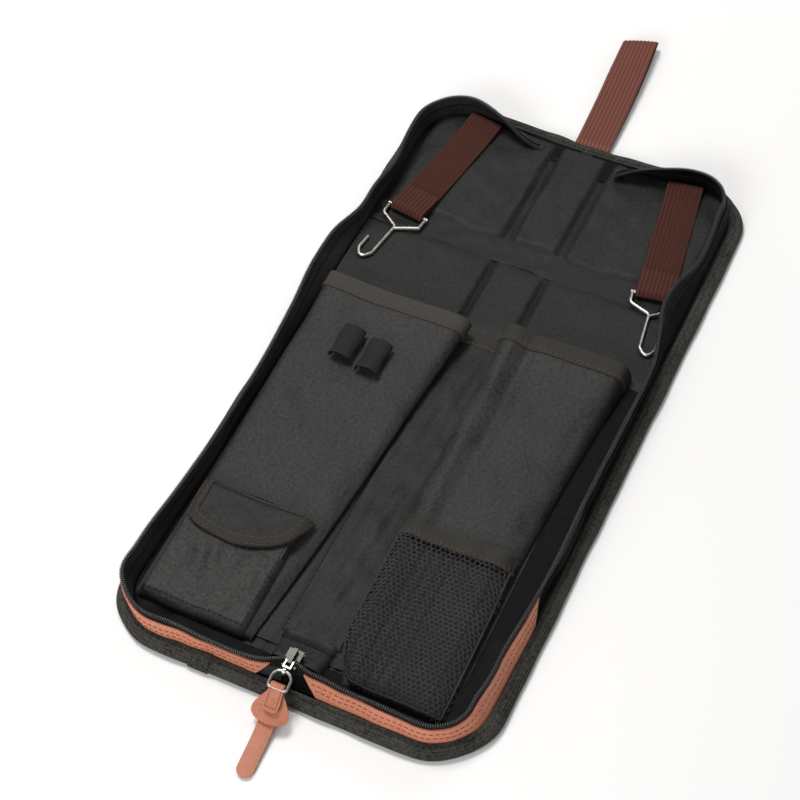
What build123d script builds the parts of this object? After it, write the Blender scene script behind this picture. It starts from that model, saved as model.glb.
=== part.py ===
from build123d import *
import math
import os

# Zip-round drum stick bag, lying open like a book on a table, in millimetres.
# +Z is up, +Y points to the handle end, -X is the left half and +X the right half.
# The origin is the centre of the spine's underside. The left half is the fixed body.

# ---- driving dimensions ----
bag_length = 475.0
bag_width = 240.0
corner_radius = 38.0
spine_width = 44.0
fold_gap = 2.4          # each side of a fold line, so that the layers clear when folded
lap_gap = 3.3           # the same for what lies on top of the panels
panel_gap = 4.3         # and for the pocket panel and its hem on the spine

cover_thickness = 1.0
board_thickness = 2.2
lining_thickness = 0.8
panel_thickness = cover_thickness + board_thickness + lining_thickness
fold_height = panel_thickness / 2

binding_edge = 3.0      # how far the panels stop short of the bound edge
binding_lap = 8.0       # how far the binding laps over the panel
binding_thickness = 0.8

rim_height = 23.6       # top of the zip teeth; two halves meet at 24 when closed
teeth_height = 1.3
skin_inset = 8.0        # outside of the trim and the zip tape
skin_thickness = 0.8
wall_thickness = 1.2
tape_height = 7.3
top_taper_end = 60.0    # where the top wall has come down from full height, towards the spine
bottom_taper_end = 58.0

# stick pockets: front line as (y, z) of the cloth's inner side, from hem to bottom
cloth = 1.0
slip_thickness = 0.8
slip_top_y = 132.0
slip_foot_y = -204.0
slip_band_width = 21.0
pocket_floor_z = panel_thickness + slip_thickness
left_pocket_top_y = 43.0
left_pocket_bottom_y = -209.0
right_pocket_top_y = 50.0
right_pocket_bottom_y = -214.0
hem_width = 10.0
hem_thickness = 0.6
mouth_z = 20.5          # underside of the pocket front at its hem, room for four sticks
shoulder_z = 14.0       # at shoulder_y, where the front settles
shoulder_y = -20.0
foot_z = 8.0
foot_y = -209.0

small_pocket_box = (-101.0, -36.0, -207.0, -130.5)    # x low, x high, y low, y high
small_pocket_depth = 6.2
flap_seam_y = -124.6
flap_tip_y = -159.0
flap_gap = 1.6          # room for the hook-and-loop patches

mesh_top_y = -103.0
mesh_depth = 7.0

strap_width = 24.0
strap_thickness = 1.4
strap_root = (72.0, 226.0)
strap_length = 103.0
strap_angle = 8.5
strap_root_z = 8.0
strap_floor_z = 6.0
hook_wire = 1.3         # radius of the hook's wire
hook_clearance = 0.08

slider_y = -214.0
puller_pivot = (-221.6, 21.4)     # y, z
link_reach = 6.4        # from the slider's bridge to the ring's near side
ring_tilt = 16.0        # degrees down towards the table
ring_width = 11.6
ring_depth = 10.6
ring_wire = 0.9
pull_bend = (-258.0, 2.6)         # y, z where the pull comes down to the table
pull_end = (-287.0, 0.9)
pull_tail_width = 10.0
pull_head_size = (22.0, 19.0)

handle_width = 24.0
handle_length = 110.0
handle_root = (238.2, 3.2)       # y, z
elastic = 1.5

ring_cos = math.cos(math.radians(ring_tilt))
ring_sin = math.sin(math.radians(ring_tilt))
ring_near = (puller_pivot[0] - link_reach, puller_pivot[1])
pull_pivot = (ring_near[0] - ring_depth * ring_cos, ring_near[1] - ring_depth * ring_sin)

half_start = spine_width / 2 + fold_gap
spine_half = spine_width / 2 - fold_gap
lap_start = spine_width / 2 + lap_gap
lap_half = spine_width / 2 - lap_gap
panel_half = spine_width / 2 - panel_gap
half_length = bag_length / 2
half_width = bag_width / 2


# ---- helpers ----
def outline(inset):
    return RectangleRounded(bag_width - 2 * inset, bag_length - 2 * inset, corner_radius - inset)


def slab(face, low, high):
    return extrude(Pos(0, 0, low) * face, high - low)


def strip(x_low, x_high, y_low, y_high):
    centre = Pos((x_low + x_high) / 2, (y_low + y_high) / 2)
    return centre * Rectangle(x_high - x_low, y_high - y_low)


def block(x_low, x_high, y_low, y_high, z_low, z_high):
    return slab(strip(x_low, x_high, y_low, y_high), z_low, z_high)


def plan(points):
    return make_face(Polyline(*points, close=True))


def side_profile(points, x_low, x_high):
    """A closed (y, z) outline, extruded along X."""
    face = Plane.YZ.offset(x_low) * make_face(Polyline(*points, close=True))
    return extrude(face, x_high - x_low)


def end_profile(points, y_low, y_high):
    """A closed (x, z) outline, extruded along Y."""
    face = Plane.XZ.offset(-y_low) * make_face(Polyline(*points, close=True))
    return extrude(face, y_low - y_high)


def raised(line, amount):
    return [(y, z + amount) for y, z in line]


def sheet_along(line, thickness, x_low, x_high):
    """Cloth that follows a (y, z) line, with its underside on the line."""
    return side_profile(line + raised(line, thickness)[::-1], x_low, x_high)


def below(line, x_low=-half_width, x_high=half_width):
    """Everything between the table and a (y, z) line."""
    ends = [(line[-1][0], -1.0), (line[0][0], -1.0)]
    return side_profile(line + ends, x_low, x_high)


def mirrored(shape, side):
    return mirror(shape, about=Plane.YZ) if side == "left" else shape


def height_on(line, y):
    for (y1, z1), (y2, z2) in zip(line, line[1:]):
        if y2 <= y <= y1:
            return z1 + (z2 - z1) * (y - y1) / (y2 - y1)
    raise ValueError("y is off the line")


right_of_fold = strip(half_start, half_width + 1, -half_length, half_length)
right_of_lap = strip(lap_start, half_width + 1, -half_length, half_length)


# ---- a half's shell: cover, board, lining, binding ----
def half_layer(low, thickness):
    return slab(outline(binding_edge) & right_of_fold, low, low + thickness)


def half_binding():
    edge = slab((outline(0) - outline(binding_edge)) & right_of_fold, 0, panel_thickness)
    lap_face = (outline(0) - outline(binding_lap)) & right_of_lap
    lap = slab(lap_face, panel_thickness, panel_thickness + binding_thickness)
    return edge + lap


def spine_layer(low, thickness, y_high=half_length - binding_edge):
    face = strip(-spine_half, spine_half, -half_length + binding_edge, y_high)
    return slab(face, low, low + thickness)


def spine_binding(end):
    outer = end * half_length
    edge = sorted((outer, outer - end * binding_edge))
    lap = sorted((outer, outer - end * binding_lap))
    body = block(-spine_half, spine_half, *edge, 0, panel_thickness)
    top = panel_thickness + binding_thickness
    return body + block(-lap_half, lap_half, *lap, panel_thickness, top)


# ---- a half's standing side: wall, trim, zip tape, teeth ----
def wall_ring(inset, thickness, low, high):
    ring = (outline(inset) - outline(inset + thickness)) & right_of_fold
    return slab(ring, low, high) & wall_envelope()


def wall_envelope():
    """The height that the wall may have, coming down towards the spine at both ends."""
    top = end_profile(
        [(half_start, 0), (half_width, 0), (half_width, rim_height),
         (top_taper_end, rim_height), (half_start, panel_thickness + 1.0)],
        0, half_length,
    )
    bottom = end_profile(
        [(half_start, 0), (half_width, 0), (half_width, rim_height),
         (bottom_taper_end, rim_height), (half_start, panel_thickness)],
        -half_length, 0,
    )
    return top + bottom


def leather_trim():
    low = panel_thickness + binding_thickness
    high = rim_height - teeth_height - tape_height
    ring = wall_ring(skin_inset, skin_thickness, low, high)
    corner_end = -half_length + 95.0
    zone = block(28, half_width, -half_length, corner_end, low, high)
    slanted = side_profile(
        [(corner_end - 14, low - 1), (corner_end + 1, low - 1), (corner_end + 1, high + 1)],
        0, half_width,
    )
    return (ring & zone) - slanted


def half_nodes(side):
    teeth_low = rim_height - teeth_height
    tape_low = teeth_low - tape_height
    wall_inset = skin_inset + skin_thickness
    lining_low = cover_thickness + board_thickness
    nodes = {
        "outer_cover": half_layer(0, cover_thickness),
        "foam_board": half_layer(cover_thickness, board_thickness),
        "lining": half_layer(lining_low, lining_thickness),
        "edge_binding": half_binding(),
        "gusset_wall": wall_ring(wall_inset, wall_thickness, panel_thickness, teeth_low),
        "leather_trim": leather_trim(),
        "zipper_tape": wall_ring(skin_inset, skin_thickness, tape_low, teeth_low),
        "zipper_teeth": wall_ring(skin_inset, 1.8, teeth_low, rim_height),
    }
    return {f"{side}_{name}": mirrored(shape, side) for name, shape in nodes.items()}


# ---- the flat slip pocket behind everything ----
def slip_pocket(x_low, x_high):
    low = panel_thickness
    return block(x_low, x_high, slip_foot_y, slip_top_y, low, low + slip_thickness)


def slip_band(x_low, x_high):
    low = panel_thickness + slip_thickness
    return block(x_low, x_high, slip_top_y - slip_band_width, slip_top_y, low, low + 0.6)


# ---- stick pockets ----
def front_line(top_y, bottom_y):
    slope = (shoulder_z - foot_z) / (shoulder_y - foot_y)
    bottom_z = foot_z + slope * (bottom_y - foot_y)
    crease_y = top_y - 24.0
    return [(top_y, mouth_z), (crease_y, 15.8), (shoulder_y, shoulder_z), (bottom_y, bottom_z)]


left_line = front_line(left_pocket_top_y, left_pocket_bottom_y)
right_line = front_line(right_pocket_top_y, right_pocket_bottom_y)


def stick_pocket(corners, line):
    """Front, gusset and hem of a pocket with a four-cornered plan: two hem corners, two foot corners."""
    outer_top, inner_top, inner_foot, outer_foot = corners
    footprint = slab(plan(corners), 0, rim_height)
    front = sheet_along(line, cloth, -half_width, half_width) & footprint
    sign = 1 if inner_top[0] > outer_top[0] else -1
    cavity = slab(
        plan([
            (outer_top[0] + sign * cloth, outer_top[1] + 5),
            (inner_top[0] - sign * cloth, inner_top[1] + 5),
            (inner_foot[0] - sign * cloth, inner_foot[1] + cloth),
            (outer_foot[0] + sign * cloth, outer_foot[1] + cloth),
        ]),
        0, rim_height,
    )
    room = below(line) - block(-half_width, half_width, -half_length, half_length, -2, pocket_floor_z)
    gusset = (footprint - cavity) & room
    hem_end = line[0][0] - hem_width
    hem_line = [line[0], (hem_end, height_on(line, hem_end))]
    hem = sheet_along(raised(hem_line, cloth), hem_thickness, -half_width, half_width)
    return front, gusset, hem & footprint


def stick_pocket_nodes():
    left = stick_pocket(
        [(-105.5, left_pocket_top_y), (-26.6, left_pocket_top_y),
         (-32.5, left_pocket_bottom_y), (-105.5, left_pocket_bottom_y)],
        left_line,
    )
    right = stick_pocket(
        [(94.5, right_pocket_top_y), (26.6, right_pocket_top_y),
         (27.4, right_pocket_bottom_y), (91.0, right_pocket_bottom_y)],
        right_line,
    )
    nodes = {}
    for side, shapes in (("left", left), ("right", right)):
        for part, shape in zip(("front", "gusset", "hem"), shapes):
            nodes[f"{side}_stick_pocket_{part}"] = shape
    return nodes


# ---- on the left stick pocket: key loops and the small flap pocket ----
def key_loop(x, y_low, y_high):
    """An elastic band sewn down both sides, standing up as an arch over a key's shaft."""
    width = 15.0
    top_z = rim_height - 0.4
    arch = Pos(x, 0, 0) * end_profile(
        [(-width / 2, 0), (width / 2, 0), (width / 2, top_z - 4), (width / 2 - 4, top_z),
         (-width / 2 + 4, top_z), (-width / 2, top_z - 4)],
        y_low, y_high,
    )
    inside = Pos(x, 0, 0) * end_profile(
        [(-width / 2 + 1.2, -1), (width / 2 - 1.2, -1), (width / 2 - 1.2, top_z - 4.5),
         (width / 2 - 4.5, top_z - 1.2), (-width / 2 + 4.5, top_z - 1.2), (-width / 2 + 1.2, top_z - 4.5)],
        y_low - 1, y_high + 1,
    )
    return arch - inside - below(raised(left_line, cloth))


def small_pocket_line():
    x_low, x_high, y_low, y_high = small_pocket_box
    rise = cloth + small_pocket_depth
    return [(y_high, height_on(left_line, y_high) + rise),
            (y_low, height_on(left_line, y_low) + rise - 0.6)]


def small_pocket_nodes():
    x_low, x_high, y_low, y_high = small_pocket_box
    line = small_pocket_line()
    surface = raised(left_line, cloth)
    front = sheet_along(line, cloth, x_low, x_high)
    ring = strip(x_low, x_high, y_low, y_high) - strip(x_low + cloth, x_high - cloth, y_low + cloth, y_high + 1)
    gusset = (slab(ring, 0, rim_height) & below(line)) - below(surface)
    patch_line = raised([(-136.0, height_on(line, -136.0)), (-152.0, height_on(line, -152.0))], cloth)
    patch = sheet_along(patch_line, 0.6, -80.0, -55.0)
    return {
        "small_pocket_front": front,
        "small_pocket_gusset": gusset,
        "closure_loop_patch": patch,
    }


def flap_outline(inset):
    """A straight seam with a wide half-oval below it."""
    x_low, x_high = small_pocket_box[0] - 0.5, small_pocket_box[1] + 3.0
    centre = (x_low + x_high) / 2
    half = (x_high - x_low) / 2 - inset
    oval_y = flap_seam_y - 9.0
    oval = Pos(centre, oval_y) * Ellipse(half, oval_y - flap_tip_y - inset)
    upper = strip(centre - half, centre + half, oval_y, flap_seam_y)
    lower = strip(centre - half, centre + half, flap_tip_y, oval_y)
    return (oval & lower) + upper


def flap_nodes():
    over = raised(small_pocket_line(), cloth + flap_gap)
    crest_y = flap_seam_y - 4.0
    slope = (over[1][1] - over[0][1]) / (over[1][0] - over[0][0])
    crest = (crest_y, over[0][1] + slope * (crest_y - over[0][0]))
    tip = (flap_tip_y, over[0][1] + slope * (flap_tip_y - over[0][0]))
    seam = (flap_seam_y, height_on(left_line, flap_seam_y) + cloth + 0.4)
    skin = [seam, crest, tip]
    outer = [(seam[0], seam[1] + 1.2), (crest[0] + 0.5, crest[1] + 0.9), raised([tip], 0.9)[0]]
    body = side_profile(skin + outer[::-1], -half_width, 0)
    flap = body & slab(flap_outline(0), 0, rim_height)
    tape = sheet_along(raised([crest, tip], 0.9), 0.6, -half_width, 0)
    below_crest = slab(strip(-half_width, 0, flap_tip_y - 1, crest_y - 5), 0, rim_height)
    binding = tape & slab(flap_outline(0) - flap_outline(7.0), 0, rim_height) & below_crest
    patch_line = [(-136.5, crest[1] + slope * (-136.5 - crest_y)), (-151.5, crest[1] + slope * (-151.5 - crest_y))]
    patch = sheet_along(raised(patch_line, -0.6), 0.6, -79.0, -56.0)
    return {
        "pocket_flap": flap,
        "pocket_flap_binding": binding,
        "closure_hook_patch": patch,
    }


# ---- on the right stick pocket: the mesh pocket ----
def mesh_nodes():
    rise = cloth + mesh_depth
    y_low = right_pocket_bottom_y + 3.0
    line = [(mesh_top_y, height_on(right_line, mesh_top_y) + rise),
            (y_low, height_on(right_line, y_low) + rise - 1.2)]
    corners = [(88.0, mesh_top_y), (27.8, mesh_top_y), (28.4, -188.0), (35.0, y_low), (89.0, y_low)]
    inner = [(87.2, mesh_top_y + 1), (28.6, mesh_top_y + 1), (29.2, -187.6), (35.5, y_low + 0.8),
             (88.2, y_low + 0.8)]
    footprint = slab(plan(corners), 0, rim_height)
    top = sheet_along(line, 0.8, 0, half_width) & footprint
    skirt = ((footprint - slab(plan(inner), 0, rim_height)) & below(line)) - below(raised(right_line, cloth))
    band_line = [line[0], (mesh_top_y - 9.0, height_on(line, mesh_top_y - 9.0))]
    band = sheet_along(raised(band_line, 0.8), 0.7, 0, half_width) & footprint
    return {"mesh_pocket_panel": top + skirt, "mesh_pocket_binding": band}


# ---- zip end at the bottom of the spine, slider and pull ----
def zip_end_patch():
    line = [(-196.0, 5.4), (-209.0, 10.4), (-216.0, 14.4)]
    return sheet_along(line, 0.9, -14.0, 14.0)


def zip_end_tape():
    """The short bridge of tape that joins both zip tapes under the slider."""
    low = panel_thickness
    return end_profile([(-15, low), (15, low), (8.0, 15.6), (-8.0, 15.6)], -218.0, -216.8)


def slider_body():
    """Two plates joined by a neck, with the bridge that carries the link."""
    y = slider_y - 4.0
    lower = Pos(0, y, 16.3) * Box(9.0, 12.0, 1.2)
    upper = Pos(0, y, 19.5) * Box(9.0, 12.0, 1.2)
    neck = Pos(0, y + 3.5, 17.9) * Box(2.4, 4.0, 2.0)
    body = lower + upper + neck
    arch = end_profile([(-1.2, 20.1), (1.2, 20.1), (1.2, 23.4), (-1.2, 23.4)], y - 5.0, y + 5.0)
    eye = Plane.YZ.offset(-2) * (Pos(y - 1.0, 21.4) * RectangleRounded(7.0, 2.2, 1.0))
    return body + (arch - extrude(eye, 4))


def puller_link():
    """A fork on a pin through the slider's bridge, with an upright eye for the ring."""
    y, z = puller_pivot
    pin = extrude(Plane.YZ.offset(-2.6) * Circle(0.75), 5.2)
    arms = slab(strip(-2.6, 2.6, -4.4, 0.75), -0.75, 0.75) - slab(strip(-1.7, 1.7, -3.4, 2), -1, 1)
    eye = Pos(-link_reach, 0) * Circle(2.2) + strip(-link_reach, -3.4, -1.2, 1.2)
    tab = extrude(Plane.YZ.offset(-0.8) * (eye - Pos(-link_reach, 0) * Circle(1.15)), 1.6)
    return Pos(0, y, z) * (pin + arms + tab)


def puller_ring():
    """A D ring: its round side hangs in the link and its straight side carries the leather."""
    side = ring_width / 2
    path = FilletPolyline(
        (side, 0, 0), (side, -ring_depth, 0), (-side, -ring_depth, 0), (-side, 0, 0),
        radius=(5.0, 1.6, 1.6, 5.0),
        close=True,
    )
    wire = sweep(Plane(origin=path @ 0, z_dir=path % 0) * Circle(ring_wire), path=path)
    return Pos(0, *ring_near) * Rot(ring_tilt, 0, 0) * wire


def pull_line():
    y, z = pull_pivot
    return [(y - 2.6, z - 3.6), pull_bend, pull_end]


def leather_tail():
    """The long under strip of the pull, rounded at its end."""
    line = pull_line()
    half = pull_tail_width / 2
    strap = sheet_along(line, 1.5, -half, half)
    end_y = line[-1][0]
    shape = strip(-half, half, end_y + half, line[0][0]) + Pos(0, end_y + half) * Circle(half)
    return strap & slab(shape, -1, rim_height)


def leather_head():
    """The wide folded head, which wraps the ring's straight side and is sewn over the tail."""
    y, z = pull_pivot
    line = pull_line()
    lower = raised([line[0], (-257.0, height_on(line, -257.0))], 1.5)
    pad = make_face(Polyline(*(lower + raised(lower, 1.5)[::-1]), close=True))
    neck = make_face(Polyline((y + 1.0, z - 2.4), (y - 1.0, z + 2.4), raised(lower, 1.5)[0], line[0], close=True))
    profile = pad + neck + Pos(y, z) * Circle(2.7) - Pos(y, z) * Circle(1.15)
    width, length = pull_head_size
    middle = y - 4.0 - length / 2
    outline_face = Pos(0, middle) * Ellipse(width / 2, length / 2) + strip(-4.2, 4.2, middle, y + 4.0)
    return extrude(Plane.YZ.offset(-width / 2) * profile, width) & slab(outline_face, 0, rim_height + 2)


# ---- carrying handle ----
def handle_loop():
    """A doubled elastic band, flat at its seam and open like a narrow eye."""
    y, z = handle_root
    end_y = y + handle_length
    eye = Pos(end_y - 5.2, 5.6) * Circle(5.0)
    outer = [(y, z - elastic), (y + 14, 0.6), (end_y - 5.2, 0.6), (end_y - 5.2, 10.6), (y + 14, 8.6), (y, z + elastic)]
    inner = [(y + 5, z + 0.1), (y + 15, 0.6 + elastic), (end_y - 5.2, 0.6 + elastic),
             (end_y - 5.2, 10.6 - elastic), (y + 15, 8.6 - elastic)]
    band = make_face(Polyline(*outer, close=True)) + eye
    gap = make_face(Polyline(*inner, close=True)) + Pos(end_y - 5.2, 5.6) * Circle(5.0 - elastic)
    return extrude(Plane.YZ.offset(-handle_width / 2) * (band - gap), handle_width)


def handle_anchor():
    """The sewn end of the band, between cover and lining."""
    low = cover_thickness
    return block(-handle_width / 2, handle_width / 2, 221.0, half_length - binding_edge, low, low + board_thickness)


# ---- hanger straps with hooks ----
def strap_frame(side):
    x, y = strap_root
    turn = strap_angle if side == "right" else -strap_angle
    return Pos(x if side == "right" else -x, y, 0) * Rot(0, 0, turn)


def hanger_strap(side):
    """Sewn in at the foot of the top wall, it lies along the half."""
    end = -strap_length
    sleeve_radius = 2.6
    sleeve_z = strap_floor_z + sleeve_radius
    line = [(-1.5, strap_root_z), (-14.0, strap_floor_z), (end, strap_floor_z)]
    flat = sheet_along(line, strap_thickness, -strap_width / 2, strap_width / 2)
    across = Plane.YZ.offset(-strap_width / 2)
    sleeve = extrude(across * (Pos(end, sleeve_z) * Circle(sleeve_radius)), strap_width)
    bore = extrude(across * (Pos(end, sleeve_z) * Circle(hook_wire + hook_clearance)), strap_width)
    return strap_frame(side) * (flat + sleeve - bore)


def hanger_hook(side):
    """A wire hook: a bar in the strap's sleeve, two arms, and an open hook."""
    z = strap_floor_z + 2.6
    end = -strap_length
    bar_half = strap_width / 2 + 2.0
    out = 1 if side == "right" else -1
    loop = FilletPolyline(
        (-bar_half, end, z), (-bar_half, end - 9, z), (0, end - 16, z), (0, end - 44, z),
        (out * 5, end - 52, z), (out * 10, end - 44, z), (out * 10, end - 33, z),
        radius=3.5,
    )
    wire = sweep(Plane(origin=loop @ 0, z_dir=loop % 0) * Circle(hook_wire), path=loop)
    brace_path = Polyline((bar_half, end, z), (bar_half, end - 9, z), (0, end - 18, z))
    brace = sweep(Plane(origin=brace_path @ 0, z_dir=brace_path % 0) * Circle(hook_wire), path=brace_path,
                  transition=Transition.RIGHT)
    bar = extrude(Plane.YZ.offset(-bar_half - hook_wire) * (Pos(end, z) * Circle(hook_wire)),
                  2 * (bar_half + hook_wire))
    return strap_frame(side) * (wire + brace + bar)


# ---- everything ----
def spine_nodes():
    lining_low = cover_thickness + board_thickness
    panel_low = panel_thickness + slip_thickness
    panel_top = 48.0
    return {
        "spine_outer_cover": spine_layer(0, cover_thickness),
        "spine_foam_board": spine_layer(cover_thickness, board_thickness, 220.0),
        "spine_lining": spine_layer(lining_low, lining_thickness),
        "spine_binding_top": spine_binding(1),
        "spine_binding_bottom": spine_binding(-1),
        "spine_slip_pocket": slip_pocket(-lap_half, lap_half),
        "spine_slip_pocket_band": slip_band(-panel_half, panel_half),
        "spine_pocket_panel": block(-panel_half, panel_half, -195.0, panel_top, panel_low, panel_low + 0.6),
        "spine_pocket_hem": block(-panel_half, panel_half, panel_top - hem_width, panel_top,
                                  panel_low + 0.6, panel_low + 1.2),
        "zipper_end_patch": zip_end_patch(),
        "zipper_end_tape": zip_end_tape(),
        "slider_body": slider_body(),
        "handle_anchor": handle_anchor(),
    }


def all_nodes():
    nodes = {}
    for side, sign in (("left", -1), ("right", 1)):
        nodes.update(half_nodes(side))
        x_range = sorted((sign * lap_start, sign * (half_width - 11.0)))
        nodes[f"{side}_slip_pocket"] = slip_pocket(*x_range)
        nodes[f"{side}_slip_pocket_band"] = slip_band(*x_range)
        nodes[f"{side}_hanger_strap"] = hanger_strap(side)
        nodes[f"{side}_hanger_hook"] = hanger_hook(side)
    nodes.update(spine_nodes())
    nodes.update(stick_pocket_nodes())
    nodes["key_loop_outer"] = key_loop(-70.0, -14.0, 10.0)
    nodes["key_loop_inner"] = key_loop(-51.0, -18.0, 6.0)
    nodes.update(small_pocket_nodes())
    nodes.update(flap_nodes())
    nodes.update(mesh_nodes())
    nodes["puller_link"] = puller_link()
    nodes["puller_ring"] = puller_ring()
    nodes["leather_pull_tail"] = leather_tail()
    nodes["leather_pull_head"] = leather_head()
    nodes["handle_loop"] = handle_loop()
    return nodes


os.makedirs("parts", exist_ok=True)
for name, shape in all_nodes().items():
    export_step(shape, f"parts/{name}.step")
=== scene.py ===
import math

import bpy
import numpy as np
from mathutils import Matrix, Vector


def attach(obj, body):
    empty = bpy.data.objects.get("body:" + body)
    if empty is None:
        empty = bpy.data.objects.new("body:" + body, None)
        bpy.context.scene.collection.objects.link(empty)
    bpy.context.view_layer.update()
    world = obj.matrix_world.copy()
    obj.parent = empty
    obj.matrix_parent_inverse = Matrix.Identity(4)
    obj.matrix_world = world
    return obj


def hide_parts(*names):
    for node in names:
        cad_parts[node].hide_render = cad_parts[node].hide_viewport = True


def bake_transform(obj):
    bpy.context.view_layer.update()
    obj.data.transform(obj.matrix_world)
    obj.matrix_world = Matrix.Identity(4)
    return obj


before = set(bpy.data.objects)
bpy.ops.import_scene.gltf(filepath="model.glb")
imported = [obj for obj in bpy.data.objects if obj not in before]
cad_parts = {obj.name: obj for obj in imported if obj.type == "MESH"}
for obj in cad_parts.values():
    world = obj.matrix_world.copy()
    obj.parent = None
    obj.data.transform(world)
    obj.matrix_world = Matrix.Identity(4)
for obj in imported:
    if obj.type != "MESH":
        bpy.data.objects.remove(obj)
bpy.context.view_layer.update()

# Lengths below are in millimetres and turned to metres when a mesh is made.
MM = 0.001
LENGTH, WIDTH, CORNER = 237.5, 120.0, 38.0   # half length, half width, corner radius
FOLD = 22.0                                  # where each half folds on the spine
SPINE_SEAM = 18.5                            # the seams beside the spine's middle
WALL_FOOT, RIM = 4.6, 22.3                   # heights of the wall's foot and of the zip tape's top
SEWN = 4.9                                   # height at which the pockets are sewn down
SIDES = (("left", -1.0), ("right", 1.0))
UP = (0.0, 0.0, 1.0)


# ---- camera and light
def look_at(obj, place, target):
    obj.location = Vector(place)
    obj.rotation_euler = (Vector(target) - Vector(place)).to_track_quat("-Z", "Y").to_euler()


camera = bpy.data.objects.new("camera", bpy.data.cameras.new("camera"))
bpy.context.scene.collection.objects.link(camera)
camera.data.lens = 91.66
camera.data.sensor_width = 36.0
camera.data.clip_end = 20.0
look_at(camera, (0.2956, -0.7113, 1.0125), (-0.0285, -0.015, 0.0))
bpy.context.scene.camera = camera


def area_light(name, place, size, energy, colour):
    light = bpy.data.lights.new(name, "AREA")
    light.shape = "RECTANGLE"
    light.size, light.size_y = size
    light.energy = energy
    light.color = colour
    lamp = bpy.data.objects.new(name, light)
    bpy.context.scene.collection.objects.link(lamp)
    look_at(lamp, place, (0, 0, 0))


area_light("key", (-0.7, 0.42, 1.95), (0.75, 0.75), 30.0, (1.0, 0.985, 0.965))
area_light("front", (-0.3, -1.9, 1.1), (1.4, 0.8), 25.0, (0.98, 0.99, 1.0))
area_light("rear", (0.2, 1.9, 1.3), (1.4, 0.6), 8.0, (1.0, 1.0, 1.0))

world = bpy.data.worlds.new("studio")
world.use_nodes = True
background = world.node_tree.nodes["Background"]
background.inputs["Color"].default_value = (0.98, 0.985, 1.0, 1.0)
background.inputs["Strength"].default_value = 0.28
bpy.context.scene.world = world
bpy.context.scene.view_settings.view_transform = "Standard"


# ---- materials
class Nodes:
    """A new material, with short ways to add nodes to it and link them."""

    def __init__(self, name):
        self.material = bpy.data.materials.new(name)
        self.material.use_nodes = True
        self.tree = self.material.node_tree
        self.shader = self.tree.nodes["Principled BSDF"]
        self.uv = self.add("ShaderNodeUVMap", uv_map="cloth").outputs[0]

    def put(self, socket, value):
        """Link another socket to this one, or give it a plain value."""
        if isinstance(value, bpy.types.NodeSocket):
            self.tree.links.new(value, socket)
        else:
            socket.default_value = value

    def add(self, kind, inputs=(), **settings):
        node = self.tree.nodes.new(kind)
        for key, value in settings.items():
            setattr(node, key, value)
        for key, value in dict(inputs).items():
            self.put(node.inputs[key], value)
        return node

    def noise(self, scale, detail, vector=None, roughness=0.55):
        inputs = {"Vector": vector or self.uv, "Scale": scale, "Detail": detail, "Roughness": roughness}
        return self.add("ShaderNodeTexNoise", inputs).outputs["Fac"]

    def cells(self, scale, **settings):
        node = self.add("ShaderNodeTexVoronoi", {"Vector": self.uv, "Scale": scale}, **settings)
        return node.outputs["Distance"]

    def wave(self, direction, pitch):
        """Bands of a given pitch, in millimetres, along U or V."""
        scale = math.tau / (20 * pitch * MM)
        return self.add("ShaderNodeTexWave", {"Vector": self.uv, "Scale": scale},
                        bands_direction=direction).outputs["Fac"]

    def math(self, operation, a, b):
        return self.add("ShaderNodeMath", {0: a, 1: b}, operation=operation).outputs[0]

    def weighted(self, *terms):
        """The sum of (value, weight) terms."""
        total, *others = [self.math("MULTIPLY", value, weight) for value, weight in terms]
        for part in others:
            total = self.math("ADD", total, part)
        return total

    def mapped(self, value, start, end, low, high):
        """A value brought from the range start to end into the range low to high."""
        return self.add("ShaderNodeMapRange", {"Value": value, "From Min": start, "From Max": end,
                                               "To Min": low, "To Max": high}).outputs[0]

    def ramp(self, factor, stops):
        node = self.add("ShaderNodeValToRGB", {"Fac": factor})
        ramp = node.color_ramp
        ramp.elements[0].position, ramp.elements[0].color = stops[0][0], (*stops[0][1], 1.0)
        ramp.elements[1].position, ramp.elements[1].color = stops[-1][0], (*stops[-1][1], 1.0)
        for position, colour in stops[1:-1]:
            ramp.elements.new(position).color = (*colour, 1.0)
        return node.outputs["Color"]

    def finish(self, colour, rough, height=None, depth=0.1, strength=0.6, **sockets):
        """Set the shader; height drives a bump of that depth, in millimetres."""
        self.put(self.shader.inputs["Base Color"], colour)
        self.put(self.shader.inputs["Roughness"], rough)
        if height is not None:
            bump = self.add("ShaderNodeBump", {"Height": height, "Strength": strength,
                                               "Distance": depth * MM})
            self.put(self.shader.inputs["Normal"], bump.outputs[0])
        for key, value in sockets.items():
            self.put(self.shader.inputs[key.replace("_", " ")], value)
        return self.material


def scaled(colour, factor):
    return tuple(min(1.0, c * factor) for c in colour)


def woven(name, colour, pitch=0.75, contrast=0.6, sheen=0.08, rough=0.66, depth=0.1, shine=0.24):
    """Woven cloth: warp and weft ridges, uneven yarn, and blotches where it is rubbed."""
    n = Nodes(name)
    weave = n.math("MULTIPLY", n.wave("X", pitch), n.wave("Y", pitch * 1.12))
    fleck = n.noise(430.0, 4.0, roughness=0.75)
    blotch = n.noise(42.0, 4.0)
    grain = n.weighted((weave, 0.5), (n.noise(1300.0, 2.0), 0.5))
    tone = n.weighted((grain, 0.32), (fleck, 0.6), (blotch, 0.28))
    ramp = n.ramp(tone, [(0.42, scaled(colour, 1 - contrast)), (0.53, colour),
                         (0.66, scaled(colour, 1 + contrast))])
    return n.finish(ramp, n.mapped(blotch, 0.3, 0.7, rough - 0.07, rough + 0.07),
                    n.weighted((grain, 0.5), (fleck, 1.0)), depth * 2,
                    Sheen_Weight=sheen, Sheen_Roughness=0.45, Specular_IOR_Level=shine)


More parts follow.
